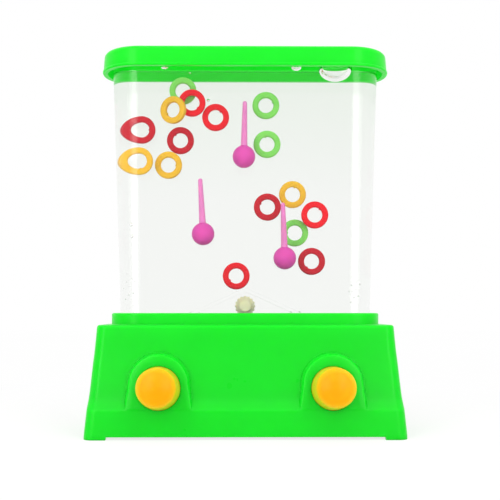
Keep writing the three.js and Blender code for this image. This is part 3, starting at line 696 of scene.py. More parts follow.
def air_in_water(colours):
    """Air under water, 1 over 1.33: its edges mirror the light like silver."""
    return clear_body("air_in_water", colours.water, index=0.752, gloss=1)


def moulded_rubber(name, tint):
    """Moulded rubber: matt, with a fine mealy grain."""
    material = new_material(name)
    base, roughness, normal = moulded_surface(
        material, tint, spread=0.12, cloud=6, grain=0.4, grain_depth=0.03, rough=0.68, rough_spread=0.12)
    shader = add_node(material, "ShaderNodeBsdfPrincipled", {
        "Base Color": base, "Roughness": roughness, "Normal": normal, "IOR": 1.52,
    })
    return close_material(material, shader.outputs["BSDF"])


def zinc_plated_steel(name, tint):
    """Zinc-plated steel: cool grey metal, slightly cloudy, with fine marks from the tumbling drum."""
    material = new_material(name)
    base, roughness, normal = moulded_surface(
        material, tint, spread=0.15, cloud=1.2, grain=0.25, grain_depth=0.01, rough=0.3, rough_spread=0.15)
    shader = add_node(material, "ShaderNodeBsdfPrincipled", {
        "Base Color": base, "Roughness": roughness, "Normal": normal, "Metallic": 1,
    })
    return close_material(material, shader.outputs["BSDF"])


# Plans of the tank

def tank_plan(level, inset=0):
    """The tank's outline at a level. It widens evenly from its foot to its rim."""
    sizes = settings().tank
    rim_width = TANK_HIGH.x - TANK_LOW.x - 2 * sizes.flange_reach
    rim_depth = TANK_HIGH.y - TANK_LOW.y - 2 * sizes.flange_reach
    foot = Plan(sizes.foot_width / 2, sizes.foot_depth / 2, sizes.foot_depth / 2, sizes.foot_radius)
    rim = Plan(rim_width / 2, rim_depth / 2, rim_depth / 2, sizes.rim_radius)
    share = (level - FOOT_LEVEL) / (RIM_LEVEL - FOOT_LEVEL)
    return foot.mixed(rim, share).grown(-inset)


def tank_wall_rings(bottom, top, inset, rings=8):
    """Outlines up the tank's wall, as many as there are rings."""
    levels = [bottom + (top - bottom) * i / (rings - 1) for i in range(rings)]
    return [outline(tank_plan(level, inset), level) for level in levels]


def filler_axis():
    """+Z out of the tank's back along the filler hole, from the plug's cap."""
    low, high = corners(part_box("filler_plug"))
    cap = settings().plug.cap_thickness
    place = Vector(((low.x + high.x) / 2, high.y - cap, (low.z + high.z) / 2))
    return Matrix.Translation(place) @ Matrix.Rotation(-math.pi / 2, 4, "X")


def button_axis(side):
    """+Z out of the base along a button's axis, from the boss's face."""
    sizes = settings().button
    place = Vector((side * sizes.spacing / 2, MID_Y - sizes.front_offset, sizes.height))
    return Matrix.Translation(place) @ Matrix.Rotation(math.pi / 2 - sizes.tilt, 4, "X")


class BuildTank(bpy.types.Operator):
    """Builds the clear tank with its flange, deflector and filler hole"""
    bl_idname = "ring_toss.build_tank"
    bl_label = "Build Tank"

    # How far the drill for the filler hole reaches to either side of the plug's cap
    drill_reach = 10 * MM
    # Half the width of the flat on the deflector's crest
    crest_half = MM / 4

    def execute(self, context):
        sizes = settings().tank
        seat_inset = sizes.wall - sizes.floor_seat
        seat_level = FLOOR_LEVEL + settings().base.fit
        flange_low = RIM_LEVEL - sizes.flange_height
        flange = tank_plan(RIM_LEVEL).grown(sizes.flange_reach)
        walls = loft(
            [
                *tank_wall_rings(FOOT_LEVEL, flange_low, 0),
                outline(flange, flange_low),
                outline(flange, RIM_LEVEL),
                *reversed(tank_wall_rings(seat_level, RIM_LEVEL, sizes.wall)),
                outline(tank_plan(seat_level, seat_inset), seat_level),
                outline(tank_plan(FOOT_LEVEL, seat_inset), FOOT_LEVEL),
            ],
            looped=True,
        )
        tank = shape_object("clear_tank", walls)
        drill = rod(sizes.filler_radius, -self.drill_reach, self.drill_reach)
        combine(tank, "DIFFERENCE", turned(drill, filler_axis()))
        clear = clear_polystyrene(settings().colours)
        finish_piece(tank, GAME_BODY, "clear_plastic", [clear], "tank")
        self.build_deflector(sizes)
        finish_node("tank_floor", clear)
        return {"FINISHED"}

    def build_deflector(self, sizes):
        """A roof of two clear slopes, which runs from the front wall to the back wall."""
        eave = FLOOR_LEVEL + sizes.deflector_clearance
        apex = eave + sizes.deflector_rise
        slope = sizes.deflector_rise / sizes.deflector_half_span
        drop = sizes.deflector_thickness * math.hypot(1, slope)
        half = sizes.deflector_half_span
        under = half - drop / slope
        flat = self.crest_half
        section = [(-half, eave), (-under, eave), (0, apex - drop), (under, eave), (half, eave)]
        crest = [(flat, apex - slope * flat), (0, apex - slope * flat / 2), (-flat, apex - slope * flat)]
        reach = tank_plan(eave, sizes.wall + sizes.film)
        rings = [
            [Vector((x, MID_Y + y, z)) for x, z in section + crest]
            for y in (reach.back, -reach.front)
        ]
        deflector = shape_object("deflector", loft(rings))
        material = clear_polystyrene_in_water(settings().colours)
        finish_piece(deflector, GAME_BODY, "clear_plastic", [material])


class BuildWater(bpy.types.Operator):
    """Fills the tank with water and its few air bubbles"""
    bl_idname = "ring_toss.build_water"
    bl_label = "Build Water"

    # Each bubble's middle and half widths in millimetres: across, from the tank's middle, and up
    bubbles = {
        "large": ((30.3, -3.4, 123.1), (5.7, 5.4, 4.4)),
        "small": ((17.2, -3.0, 123.6), (1.8, 2.2, 1.2)),
        "loose": ((-12.4, -7.6, 111.5), (0.55, 0.55, 0.5)),
        "pair_low": ((-37.6, -5.2, 66.4), (0.5, 0.5, 0.5)),
        "pair_high": ((-37.9, -5.0, 70.2), (0.6, 0.6, 0.55)),
        "left_high": ((-27.0, -6.4, 122.6), (1.2, 1.4, 0.4)),
        "left_low": ((-18.6, -6.0, 121.0), (0.35, 0.35, 0.3)),
    }
    # Where the tiny bubbles sit together in the tank's low corners, and how far they spread across and up
    clusters = {"left": (-38.6, -5.0, 49.5), "right": (36.2, -5.5, 48.5)}
    cluster_spread = (2.0, 5.2)
    cluster_count = 9
    # The turn from each to the next, in radians, which spreads them evenly
    golden_angle = 2.4
    # Their half widths in millimetres: the smallest, what each next size adds, and how many sizes there are
    smallest_half, half_growth, cluster_sizes = 0.16, 0.05, 3

    waterline_drop = 0.25 * MM
    # How far a bubble's pressed top lies under the water's surface
    pressed_drop = MM / 10
    bubble_steps, bubble_rows = 40, 20

    def execute(self, context):
        sizes = settings().tank
        waterline = RIM_LEVEL - self.waterline_drop
        rings = tank_wall_rings(
            FLOOR_LEVEL - sizes.water_overlap, waterline, sizes.wall - sizes.water_overlap)
        water = shape_object("water", loft(rings))
        finish_piece(water, GAME_BODY, "water", [still_water(settings().colours)])
        for name, (middle, half) in {**self.bubbles, **self.tiny_bubbles()}.items():
            self.build_bubble(name, Vector(middle) * MM, Vector(half) * MM, waterline)
        return {"FINISHED"}

    def tiny_bubbles(self):
        """The bubbles of the clusters, in the same terms as the others."""
        tiny = {}
        for side, (x, y, z) in self.clusters.items():
            for i in range(self.cluster_count):
                reach = math.sqrt((i + 0.5) / self.cluster_count)
                angle = self.golden_angle * i
                wide, high = (spread * reach for spread in self.cluster_spread)
                half = self.smallest_half + self.half_growth * (i % self.cluster_sizes)
                place = (x + wide * math.cos(angle), y, z + high * math.sin(angle))
                tiny[f"{side}_{i}"] = (place, (half, half, half))
        return tiny

    def build_bubble(self, name, middle, half, waterline):
        """A ball of air, pressed flat where it meets the lid."""
        angles = (math.pi * row / self.bubble_rows for row in range(self.bubble_rows + 1))
        profile = [(math.sin(angle), -math.cos(angle)) for angle in angles]
        place = Matrix.Translation(middle + Vector((0, MID_Y, 0))) @ Matrix.Diagonal((*half, 1))
        vertices, faces = turned(profile, place, self.bubble_steps)
        ceiling = waterline - self.pressed_drop
        pressed = [Vector((v.x, v.y, min(v.z, ceiling))) for v in vertices]
        bubble = shape_object("bubble_" + name, (pressed, faces))
        finish_piece(bubble, GAME_BODY, "water", [air_in_water(settings().colours)])


class BuildLid(bpy.types.Operator):
    """Builds the lid with its rounded edge, lip and inner rim"""
    bl_idname = "ring_toss.build_lid"
    bl_label = "Build Lid"

    edge_steps = 8

    def execute(self, context):
        sizes = settings().lid
        rim = tank_plan(RIM_LEVEL).grown(settings().tank.flange_reach + sizes.fit)
        top_plan = rim.grown(sizes.skirt_wall)
        foot_plan = top_plan.grown(sizes.draft)
        roof_under = LID_HIGH.z - sizes.roof
        inner_foot = roof_under - sizes.inner_rim_height
        inner_rim = tank_plan(inner_foot, settings().tank.wall + sizes.fit)
        inner_bore = inner_rim.grown(-sizes.inner_rim_wall)
        lip_middle = LID_LOW.z + sizes.lip_height / 2
        angles = (math.pi * (step / self.edge_steps - 0.5) for step in range(self.edge_steps + 1))
        lip = [
            outline(
                foot_plan.grown(sizes.lip_reach * math.cos(angle)),
                lip_middle + sizes.lip_height / 2 * math.sin(angle))
            for angle in angles
        ]
        rings = [
            outline(inner_bore, roof_under),
            outline(inner_bore, inner_foot),
            outline(inner_rim, inner_foot),
            outline(inner_rim, roof_under),
            outline(rim, roof_under),
            outline(rim.grown(sizes.draft), LID_LOW.z),
            *lip,
            *rounded_edge(top_plan, LID_HIGH.z - sizes.edge, sizes.edge, self.edge_steps),
        ]
        lid = shape_object("green_lid", loft(rings))
        finish_piece(lid, GAME_BODY, "green_plastic", [thin_green_abs(settings().colours)], "lid")
        return {"FINISHED"}


class BuildBase(bpy.types.Operator):
    """Builds the flared base with its collar, bosses and feet"""
    bl_idname = "ring_toss.build_base"
    bl_label = "Build Base"

    # The flare: share of the height above the rim, of the spread in width, and in front
    flare_shares = (
        (0, 1, 1),
        (0.235, 0.755, 0.9),
        (0.35, 0.635, 0.5),
        (0.476, 0.525, 0.31),
        (0.616, 0.395, 0.18),
        (0.77, 0.22, 0.08),
        (1, 0, 0),
    )

    # The row of that table where the front's slope breaks into the upright apron
    crease = 1

    # The outline blends from the feet to the rim in this many steps
    blend_steps = 4
    # Half the width of the step at a foot's end, as a share of the foot's height
    foot_end = 1 / 16
    # How much of the front's outline counts as flat, how far back a boss is followed, and how often its
    # depth, which moves the level along its tilted axis, is worked out again
    flat_front = MM / 100
    boss_depth = 8 * MM
    boss_rounds = 4
    # Levels of the inside, as shares of the height of its ceiling
    inside_shares = (0.6, 0.3)

    def flare(self, share, column):
        """Smooth curve through one column of the flare's shares."""
        table = self.flare_shares
        share = min(max(share, 0), 1)
        above = next((i for i in range(1, len(table)) if table[i][0] >= share), len(table) - 1)
        x0, x1 = table[above - 1][0], table[above][0]
        y0, y1 = table[above - 1][column], table[above][column]

        def slope(row):
            """Slope from a row of the table to the next."""
            return (table[row + 1][column] - table[row][column]) / (table[row + 1][0] - table[row][0])

        def steepness(row):
            """Slope of the curve at a row."""
            if row in (0, len(table) - 1):
                return slope(min(row, len(table) - 2))
            before, after = slope(row - 1), slope(row)
            if row == self.crease:
                return before if above == self.crease else after
            return 2 * before * after / (before + after)

        span = x1 - x0
        t = (share - x0) / span
        return (
            (2 * t ** 3 - 3 * t ** 2 + 1) * y0
            + (t ** 3 - 2 * t ** 2 + t) * span * steepness(above - 1)
            + (3 * t ** 2 - 2 * t ** 3) * y1
            + (t ** 3 - t ** 2) * span * steepness(above)
        )

    def plan(self, level):
        """The base's outline at a level, without its bosses."""
        sizes = settings().base
        low, high = corners(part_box("base_housing"))
        share = (level - sizes.foot_height) / (sizes.deck_level - sizes.foot_height)
        bottom_width = high.x - low.x
        front_at_bottom, back_at_bottom = MID_Y - low.y, high.y - MID_Y
        wide = self.flare(share, 1)
        forward = self.flare(share, 2)
        back_share = min(max(share, 0), 1)
        return Plan(
            (sizes.top_width + (bottom_width - sizes.top_width) * wide) / 2,
            sizes.front_at_top + (front_at_bottom - sizes.front_at_top) * forward,
            back_at_bottom + (sizes.back_at_top - back_at_bottom) * back_share,
            sizes.corner,
        )

    def boss_front(self, x, level):
        """How far a boss reaches in front of the tank's middle at a place of the front."""
        base, button = settings().base, settings().button
        across = abs(x) - button.spacing / 2
        depth = 0
        for _ in range(self.boss_rounds):
            up = (level - button.height - depth * math.sin(button.tilt)) / math.cos(button.tilt)
            above = up - base.boss_rise
            arch = math.hypot(across, max(above, 0)) - base.boss_radius + base.boss_spread * min(above, 0)
            past = max(arch, -base.boss_drop - up)
            crown = min(max(1 + arch / (base.boss_radius - base.hole_radius), 0), 1)
            depth = -smooth_max(past, 0, base.boss_edge) / base.boss_slope - base.boss_crown * crown ** 2
            if depth < -self.boss_depth:
                break
        return button.front_offset - up * math.sin(button.tilt) + depth * math.cos(button.tilt)

    def runs(self):
        """Shares along the four straight stretches, fine across the front, with lines at the feet's ends."""
        sizes = settings().base
        plan = self.plan(0)
        foot = sizes.foot_length - plan.radius
        across, along = 2 * (plan.side - plan.radius), plan.front + plan.back - 2 * plan.radius
        runs = []
        for span, spacing in ((across, MM), (along, MM), (across, sizes.column), (along, MM)):
            count = round(span / spacing)
            ends = [foot / span, 1 - foot / span]
            edge = sizes.foot_height * self.foot_end / span
            even = [i / count for i in range(1, count)]
            clear = [share for share in even if min(abs(share - end) for end in ends) > 2 * edge]
            runs.append(sorted(clear + [end + side * edge for end in ends for side in (-1, 1)]))
        return runs

    def outside_rings(self, runs):
        """Outlines up the outside, from the feet to the deck, and the level of the rim at a place."""
        sizes = settings().base
        rim = self.plan(0)
        blend_top = 2 * sizes.foot_height

        def rim_level(x, y):
            clear_x = abs(x) < rim.side - sizes.foot_length
            clear_y = sizes.foot_length - rim.front < y < rim.back - sizes.foot_length
            return sizes.foot_height if clear_x or clear_y else 0

        def with_bosses(ring, plan):
            for point in ring:
                if point.y < MID_Y - plan.front + self.flat_front:
                    boss = self.boss_front(point.x, point.z)
                    point.y = MID_Y - smooth_max(plan.front, boss, sizes.boss_fillet)
            return ring

        rings = []
        for step in range(self.blend_steps):
            share = step / self.blend_steps

            def blended(x, y):
                return rim_level(x, y) + (blend_top - rim_level(x, y)) * share

            rings.append(outline(self.plan(blend_top * share), blended, runs))
        edge_low = sizes.deck_level - sizes.edge
        count = round((edge_low - blend_top) / sizes.row)
        for step in range(count):
            level = blend_top + (edge_low - blend_top) * step / count
            plan = self.plan(level)
            rings.append(with_bosses(outline(plan, level, runs), plan))
        rings += rounded_edge(self.plan(edge_low), edge_low, sizes.edge, runs=runs)
        return rings, rim_level

    def collar_rings(self, runs):
        """Outlines up the collar's outside and down to the ledge inside it, which carries the tank."""
        sizes = settings().base
        collar = tank_plan(COLLAR_LEVEL).grown(sizes.fit + sizes.collar_wall)
        ledge_top = FOOT_LEVEL - sizes.fit
        opening = tank_plan(FOOT_LEVEL, settings().tank.wall)
        return [
            outline(collar.grown(sizes.collar_edge / 2), sizes.deck_level, runs),
            outline(collar, sizes.deck_level + sizes.collar_edge / 2, runs),
            *rounded_edge(collar, COLLAR_LEVEL - sizes.collar_edge, sizes.collar_edge, runs=runs),
            outline(tank_plan(COLLAR_LEVEL).grown(sizes.fit), COLLAR_LEVEL, runs),
            outline(tank_plan(ledge_top).grown(sizes.fit), ledge_top, runs),
            outline(opening, ledge_top, runs),
            outline(opening, ledge_top - sizes.ledge, runs),
        ]

    def execute(self, context):
        sizes, button, plug = settings().base, settings().button, settings().plug
        runs = self.runs()
        outside, rim_level = self.outside_rings(runs)
        ceiling = sizes.deck_level - sizes.wall - 2 * sizes.ledge
        levels = [ceiling, *(share * ceiling for share in self.inside_shares), 2 * sizes.foot_height]
        inside = [outline(self.plan(level).grown(-sizes.wall), level, runs) for level in levels]
        inside.append(outline(self.plan(0).grown(-sizes.wall), rim_level, runs))
        base = shape_object("green_base", loft([*outside, *self.collar_rings(runs), *inside], looped=True))

        lip, hole = sizes.hole_lip, sizes.hole_radius
        wide = hole + sizes.hole_relief
        # The holes for the buttons, wider behind the boss's face, and the notch for the plug in the back
        bore = [
            (0, -sizes.hole_depth), (wide, -sizes.hole_depth), (wide, -sizes.boss_wall),
            (hole, -sizes.boss_wall), *arc((hole + lip, -lip), lip, 180, 90), (hole + 2 * lip, MM), (0, MM),
        ]
        notch = rod(plug.cap_radius + sizes.fit, -button.front_offset / 2, button.front_offset)
        bores = [turned(bore, button_axis(side)) for side in HANDS.values()]
        combine(base, "DIFFERENCE", *bores, turned(notch, filler_axis()))
        green = green_abs(settings().colours)
        finish_piece(base, GAME_BODY, "green_plastic", [green], "base_housing")
        finish_node("bottom_cover", green)
        return {"FINISHED"}


class BuildButtons(bpy.types.Operator):
    """Builds the two push buttons"""
    bl_idname = "ring_toss.build_buttons"
    bl_label = "Build Buttons"

    # The rounded rim's arc in degrees, from the side's draft to the slope of the domed face
    rim_start, rim_end, rim_steps = 8, 82, 8
    crown_steps = 6

    def execute(self, context):
        sizes = settings().button
        orange = orange_abs(settings().colours)
        front = sizes.reach - sizes.crown
        flange_front = -sizes.flange_setback
        flange_back = flange_front - sizes.flange_thickness
        rim = arc(
            (sizes.face_radius - sizes.edge, front - sizes.edge), sizes.edge, self.rim_start, self.rim_end,
            self.rim_steps)
        inner, level = rim[-1]
        crown = [
            (inner * (1 - share), level + (sizes.reach - level) * (1 - (1 - share) ** 2))
            for share in (step / self.crown_steps for step in range(1, self.crown_steps + 1))
        ]
        profile = [
            (0, flange_back), (sizes.flange_radius, flange_back), (sizes.flange_radius, flange_front),
            (sizes.root_radius, flange_front), (sizes.root_radius, 0), *rim, *crown,
        ]
        for hand, side in HANDS.items():
            button = shape_object(f"push_button_{hand}", turned(profile, button_axis(side)))
            finish_piece(button, f"button_{hand}", "orange_plastic", [orange], f"button_{hand}")
        return {"FINISHED"}


class BuildPumps(bpy.types.Operator):
    """Builds the rubber bellows that the buttons press, and finishes the elbows behind them"""
    bl_idname = "ring_toss.build_pumps"
    bl_label = "Build Pumps"

    fold_steps = 12

    def execute(self, context):
        sizes, button = settings().pump, settings().button
        rubber = moulded_rubber("moulded_rubber_bellows", settings().colours.rubber)
        white = soft_moulded_polyethylene("moulded_polyethylene_white", settings().colours.white)
        front = -button.flange_setback - button.flange_thickness - sizes.gap
        rear = front - sizes.length
        folds_rear, folds_front = rear + sizes.neck_length, front - sizes.end
        outside, inside = [], []
        for step in range(sizes.folds * self.fold_steps + 1):
            share = step / (sizes.folds * self.fold_steps)
            swell = 0.5 - 0.5 * math.cos(2 * math.pi * step / self.fold_steps)
            radius = sizes.root + (sizes.crest - sizes.root) * swell
            level = folds_rear + (folds_front - folds_rear) * share
            outside.append((radius, level))
            inside.insert(0, (radius - sizes.wall, level + (sizes.wall if step == 0 else 0)))
        profile = [
            (sizes.neck_bore, rear), (sizes.neck, rear), (sizes.neck, folds_rear), *outside,
            (sizes.root, front), (0, front), (0, folds_front), *inside,
            (sizes.neck_bore, folds_rear + sizes.wall),
        ]
        for hand, side in HANDS.items():
            axis = button_axis(side)
            bellows = shape_object(f"rubber_bellows_{hand}", turned(profile, axis, looped=True))
            finish_piece(bellows, GAME_BODY, "pump_rubber", [rubber], f"bellows_{hand}")
            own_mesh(bellows)
            finish_node(f"pump_elbow_{hand}", white)
        return {"FINISHED"}


class BuildPegs(bpy.types.Operator):
    """Builds the three pegs, each a spike on a ball with a stub to the back wall"""
    bl_idname = "ring_toss.build_pegs"
    bl_label = "Build Pegs"

    # How far each spike leans to the right
    leans = {"peg_left": math.radians(-3), "peg_middle": math.radians(1), "peg_right": math.radians(-2)}
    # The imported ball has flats, so it ends a little short of its radius below
    packed_ball_sides = 14
    ball_steps, ball_rows, rod_steps, tip_rows = 64, 32, 48, 8

    def execute(self, context):
        colours = settings().colours
        thick = translucent_polystyrene_in_water(
            "translucent_polystyrene_magenta", colours.magenta, through=0.15)
        thin = translucent_polystyrene_in_water(
            "thin_translucent_polystyrene_magenta", colours.thin_magenta, through=0.3)
        for node in PEGS:
            self.build_peg(node, thick, thin)
        return {"FINISHED"}

    def build_peg(self, node, thick, thin):
        """A peg in one body, with the thick material on its ball and stub and the thin one on its spike."""
        sizes = settings().peg
        low, high = corners(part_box(node))
        ball, tilt, fillet = sizes.ball_radius, self.leans[node], sizes.fillet
        ball_foot = ball * math.cos(math.pi / self.packed_ball_sides)
        place = Vector(((low.x + high.x) / 2, low.y + ball, low.z + ball_foot))
        centre = Matrix.Translation(place)
        round_ball = turned(arc((0, 0), ball, -90, 90, self.ball_rows), centre, self.ball_steps)
        tip = (high.z - place.z - sizes.spike_tip) / math.cos(tilt)
        neck = math.sqrt(ball ** 2 - (sizes.spike_base + fillet) ** 2)
        spike = turned(
            [
                (0, ball - sizes.sink),
                (sizes.spike_base + fillet, neck - fillet / 3),
                (sizes.spike_base + fillet / 2, neck + fillet / 6),
                (sizes.spike_base + fillet / 6, neck + fillet / 2),
                (sizes.spike_base, neck + 1.2 * fillet),
                *arc((0, tip), sizes.spike_tip, 0, 90, self.tip_rows),
            ],
            centre @ Matrix.Rotation(tilt, 4, "Y"), self.rod_steps)
        stub = turned(
            rod(sizes.stub_radius, ball - sizes.sink, high.y - place.y),
            centre @ Matrix.Rotation(-math.pi / 2, 4, "X"), self.rod_steps)
        peg = shape_object("magenta_" + node, round_ball)
        combine(peg, "UNION", spike)
        combine(peg, "UNION", stub)
        finish_piece(peg, GAME_BODY, "magenta_plastic", [thick, thin], node)
        for face in peg.data.polygons:
            face.material_index = int(face.center.z > place.z + ball)


class BuildRings(bpy.types.Operator):
    """Builds the loose rings"""
    bl_idname = "ring_toss.build_rings"
    bl_label = "Build Rings"

    # Where each ring's moulding nub lies, in degrees anticlockwise from the right
    nub_angles = {"ring_red_2": 50, "ring_red_1": -40, "ring_dark_red_2": 130, "ring_red_4": 215}
    # The turn from one ring's nub to the next ring's, where that table names none
    nub_turn = 77
    nub_steps = 20
    # A packed ring that is deeper than this many thicknesses is the turned one
    turned_depth = 1.5

    def execute(self, context):
        sizes = settings().ring
        half, edge = sizes.thickness / 2, sizes.edge
        outer, inner = sizes.outer_radius - edge, sizes.inner_radius + edge
        profile = [
            *arc((outer, -half + edge), edge, -90, 0), *arc((outer, half - edge), edge, 0, 90),
            *arc((inner, half - edge), edge, 90, 180), *arc((inner, -half + edge), edge, 180, 270),
        ]
        materials = {}
        for position, node in enumerate(RINGS):
            shade = node.rsplit("_", 1)[0]
            if shade not in materials:
                tint = getattr(settings().colours, shade)
                materials[shade] = translucent_polystyrene_in_water(
                    "translucent_polystyrene_" + shade, tint, through=0.1)
            low, high = corners(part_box(node))
            turn = sizes.turned_lean if high.y - low.y > self.turned_depth * sizes.thickness else 0
            facing = Matrix.Translation((low + high) / 2) @ Matrix.Rotation(-turn, 4, "Z")
            facing = facing @ Matrix.Rotation(math.pi / 2, 4, "X")
            nub_angle = math.radians(self.nub_angles.get(node, self.nub_turn * position))
            nub_reach = sizes.inner_radius + edge / 4
            nub_place = Vector((math.cos(nub_angle), math.sin(nub_angle), 0)) * nub_reach
            nub = turned(
                rod(sizes.nub_radius, -half / 2, half / 2), facing @ Matrix.Translation(nub_place),
                self.nub_steps)
            ring = shape_object("loose_" + node, turned(profile, facing, looped=True), nub)
            finish_piece(ring, node, shade, [materials[shade]], node)
        return {"FINISHED"}


class BuildPlug(bpy.types.Operator):
    """Builds the knurled filler plug"""
    bl_idname = "ring_toss.build_plug"
    bl_label = "Build Filler Plug"

    knurl_steps = 12
    # How many edge radii the grip grooves reach in from the rim
    groove_reach = 4

    def execute(self, context):
        sizes = settings().plug
        low, high = corners(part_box("filler_plug"))
        stem = -(high.y - low.y - sizes.cap_thickness)
        edge, radius, cap = sizes.edge, sizes.cap_radius, sizes.cap_thickness

        def gripped(at, angle):
            """The radius with the grip grooves, which deepen towards the rim."""
            groove = 0.5 - 0.5 * math.cos(sizes.knurls * angle)
            reach = self.groove_reach * edge
            share = min(max((at - radius + reach) / reach, 0), 1)
            return at - sizes.knurl_depth * groove ** 2 * share

        profile = [
            (0, stem), (sizes.stem_radius, stem), (sizes.stem_radius, 0),
            *arc((radius - edge, edge), edge, -90, 0), *arc((radius - edge, cap - edge), edge, 0, 90),
            (0, cap),
        ]
        skin = turned(profile, filler_axis(), self.knurl_steps * sizes.knurls, radius_at=gripped)
        plug = shape_object("knurled_filler_plug", skin)
        yellow = soft_moulded_polyethylene("moulded_polyethylene_yellow", settings().colours.plug_yellow)
        finish_piece(plug, "filler_plug", "plug_yellow", [yellow], "filler_plug")
        return {"FINISHED"}


class FinishScrews(bpy.types.Operator):
    """Finishes the screws under the base"""
    bl_idname = "ring_toss.finish_screws"
    bl_label = "Finish Screws"

    def execute(self, context):
        steel = zinc_plated_steel("zinc_plated_steel_screws", settings().colours.steel)
        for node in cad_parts:
            if node.startswith("screw_"):
                finish_node(node, steel)
        return {"FINISHED"}


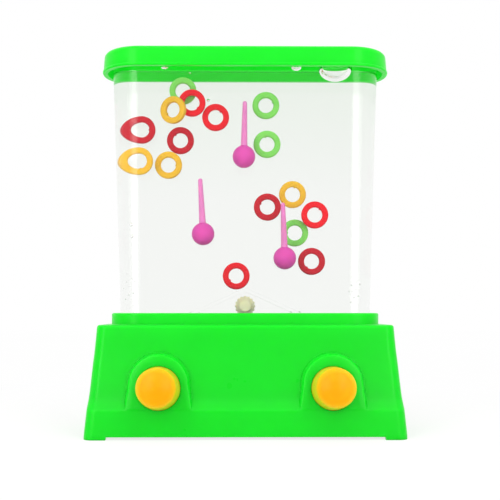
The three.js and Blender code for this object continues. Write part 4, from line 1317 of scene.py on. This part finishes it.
class BuildStage(bpy.types.Operator):
    """Sets up the camera, the floor, the three soft lamps and the white surroundings"""
    bl_idname = "ring_toss.build_stage"
    bl_label = "Build Stage"

    # The width of the photograph in pixels, and of the camera's own frame in millimetres
    frame_width = 500
    sensor_width = 36
    # Each lamp's place, and its width and height
    lamps = {
        "key_lamp": ((-0.26, -0.43, 0.42), (0.2, 0.8)),
        "fill_lamp": ((0.25, -0.43, 0.42), (0.2, 0.8)),
        "top_lamp": ((0, -0.1, 0.8), (1.2, 0.9)),
    }
    floor_half = 1.5
    # The floor's own white, as a share, near the object, and where it grows to all of what is seen
    near_glow = 0.75
    fade_start = 0.06
    fade_end = 0.22

    def execute(self, context):
        sizes = settings().stage
        self.build_camera(context.scene, sizes)
        self.build_floor()
        self.build_lamp("key_lamp", sizes.key_power)
        self.build_lamp("fill_lamp", sizes.fill_power)
        self.build_lamp("top_lamp", sizes.top_power)
        self.build_world(context.scene, sizes.room_light)
        context.scene.view_settings.view_transform = "Standard"
        return {"FINISHED"}

    def build_camera(self, scene, sizes):
        """A level camera, shifted so that the object lies where the photograph shows it."""
        lens = bpy.data.cameras.new("camera")
        lens.sensor_width = self.sensor_width
        lens.lens = sizes.lens
        lens.clip_start = MM
        lens.shift_x = (self.frame_width / 2 - sizes.middle_column) / self.frame_width
        lens.shift_y = (sizes.horizon_row - self.frame_width / 2) / self.frame_width
        camera = bpy.data.objects.new("camera", lens)
        painted_sheen_weight, back = math.sin(sizes.azimuth), math.cos(sizes.azimuth)
        camera.location = (-sizes.distance * painted_sheen_weight, MID_Y - sizes.distance * back, sizes.height)
        camera.rotation_euler = (math.pi / 2, 0, -sizes.azimuth)
        scene.collection.objects.link(camera)
        scene.camera = camera

    def build_floor(self):
        """A pale matt floor, which the camera sees nearly white but which still holds the object's shadow."""
        material = new_material("matt_studio_floor")
        tint = settings().colours.floor
        cloud = add_node(material, "ShaderNodeTexNoise", {"Scale": per_millimetre(60), "Detail": 2})
        shade = add_node(
            material, "ShaderNodeMapRange", {"Value": cloud.outputs["Fac"], "To Min": 0.99, "To Max": 1})
        matt = add_node(material, "ShaderNodeBsdfDiffuse", {"Color": (*tint, 1), "Roughness": 0.5})
        white = add_node(
            material, "ShaderNodeEmission", {"Color": (1, 1, 1, 1), "Strength": shade.outputs["Result"]})
        place = add_node(material, "ShaderNodeNewGeometry").outputs["Position"]
        away = add_node(material, "ShaderNodeVectorMath", {0: place}, operation="LENGTH")
        fade = add_node(
            material, "ShaderNodeMapRange",
            {"Value": away.outputs["Value"], "From Min": self.fade_start, "From Max": self.fade_end,
             "To Min": self.near_glow, "To Max": 1},
            interpolation_type="SMOOTHSTEP")
        share = add_node(
            material, "ShaderNodeMath", {0: self.seen_directly(material), 1: fade.outputs["Result"]},
            operation="MULTIPLY")
        mixed = add_node(
            material, "ShaderNodeMixShader",
            {"Fac": share.outputs["Value"], 1: matt.outputs["BSDF"], 2: white.outputs["Emission"]})
        close_material(material, mixed.outputs["Shader"])
        half = self.floor_half
        mesh = bpy.data.meshes.new("floor")
        square = [(-half, -half, 0), (half, -half, 0), (half, half, 0), (-half, half, 0)]
        mesh.from_pydata(square, [], [(0, 1, 2, 3)])
        mesh.materials.append(material)
        floor = bpy.data.objects.new("floor", mesh)
        bpy.context.scene.collection.objects.link(floor)

    def seen_directly(self, tree_owner):
        """1 for rays from the camera, off gloss and through clear bodies, and 0 for the rest."""
        path = add_node(tree_owner, "ShaderNodeLightPath")
        first = add_node(
            tree_owner, "ShaderNodeMath",
            {0: path.outputs["Is Camera Ray"], 1: path.outputs["Is Glossy Ray"]}, operation="MAXIMUM")
        both = add_node(
            tree_owner, "ShaderNodeMath",
            {0: first.outputs["Value"], 1: path.outputs["Is Transmission Ray"]}, operation="MAXIMUM")
        return both.outputs["Value"]

    def build_lamp(self, name, watts):
        """A soft lamp, which shows in what the tank's walls mirror but not straight through them. It stands
        upright and faces the object, or faces down to it where it hangs overhead."""
        place, size = self.lamps[name]
        lamp = bpy.data.lights.new(name, "AREA")
        lamp.shape = "RECTANGLE"
        lamp.size, lamp.size_y = size
        lamp.energy = watts
        holder = bpy.data.objects.new(name, lamp)
        holder.location = place
        level = Vector((-place[0], -place[1], 0))
        overhead = level.length <= place[2] / 2
        aim = level - Vector((0, 0, place[2])) if overhead else level
        holder.rotation_euler = aim.to_track_quat("-Z", "Y").to_euler()
        holder.visible_camera = holder.visible_transmission = False
        bpy.context.scene.collection.objects.link(holder)

    def build_world(self, scene, room_light):
        """White all round where it is seen, and light of the room's level where it is not."""
        world = bpy.data.worlds.new("white_studio")
        world.use_nodes = True
        world.node_tree.nodes.clear()
        soft = add_node(world, "ShaderNodeBackground", {"Color": (1, 1, 1, 1), "Strength": room_light})
        white = add_node(world, "ShaderNodeBackground", {"Color": (1, 1, 1, 1), "Strength": 1})
        mixed = add_node(
            world, "ShaderNodeMixShader",
            {"Fac": self.seen_directly(world), 1: soft.outputs["Background"], 2: white.outputs["Background"]})
        add_node(world, "ShaderNodeOutputWorld", {"Surface": mixed.outputs["Shader"]})
        scene.world = world


STEPS = (
    BuildStage, BuildTank, BuildWater, BuildLid, BuildBase, BuildButtons, BuildPumps, BuildPegs, BuildRings,
    BuildPlug, FinishScrews,
)
GROUPS = (
    TankSizes, LidSizes, BaseSizes, ButtonSizes, PumpSizes, PegSizes, RingSizes, PlugSizes, GameColours,
    StageSettings, RingTossSettings,
)


class RingTossPanel(bpy.types.Panel):
    """Lists the steps that build the game"""
    bl_idname = "VIEW3D_PT_ring_toss"
    bl_label = "Ring Toss"
    bl_space_type = "VIEW_3D"
    bl_region_type = "UI"
    bl_category = "Ring Toss"

    def draw(self, context):
        for step in STEPS:
            self.layout.operator(step.bl_idname)


def register():
    for kind in (*GROUPS, *STEPS, RingTossPanel):
        bpy.utils.register_class(kind)
    bpy.types.Scene.ring_toss = bpy.props.PointerProperty(type=RingTossSettings)


def unregister():
    del bpy.types.Scene.ring_toss
    for kind in reversed((*GROUPS, *STEPS, RingTossPanel)):
        bpy.utils.unregister_class(kind)


def main():
    register()
    for step in STEPS:
        name = step.bl_idname.split(".")[1]
        getattr(bpy.ops.ring_toss, name)()


if __name__ == "__main__":
    main()
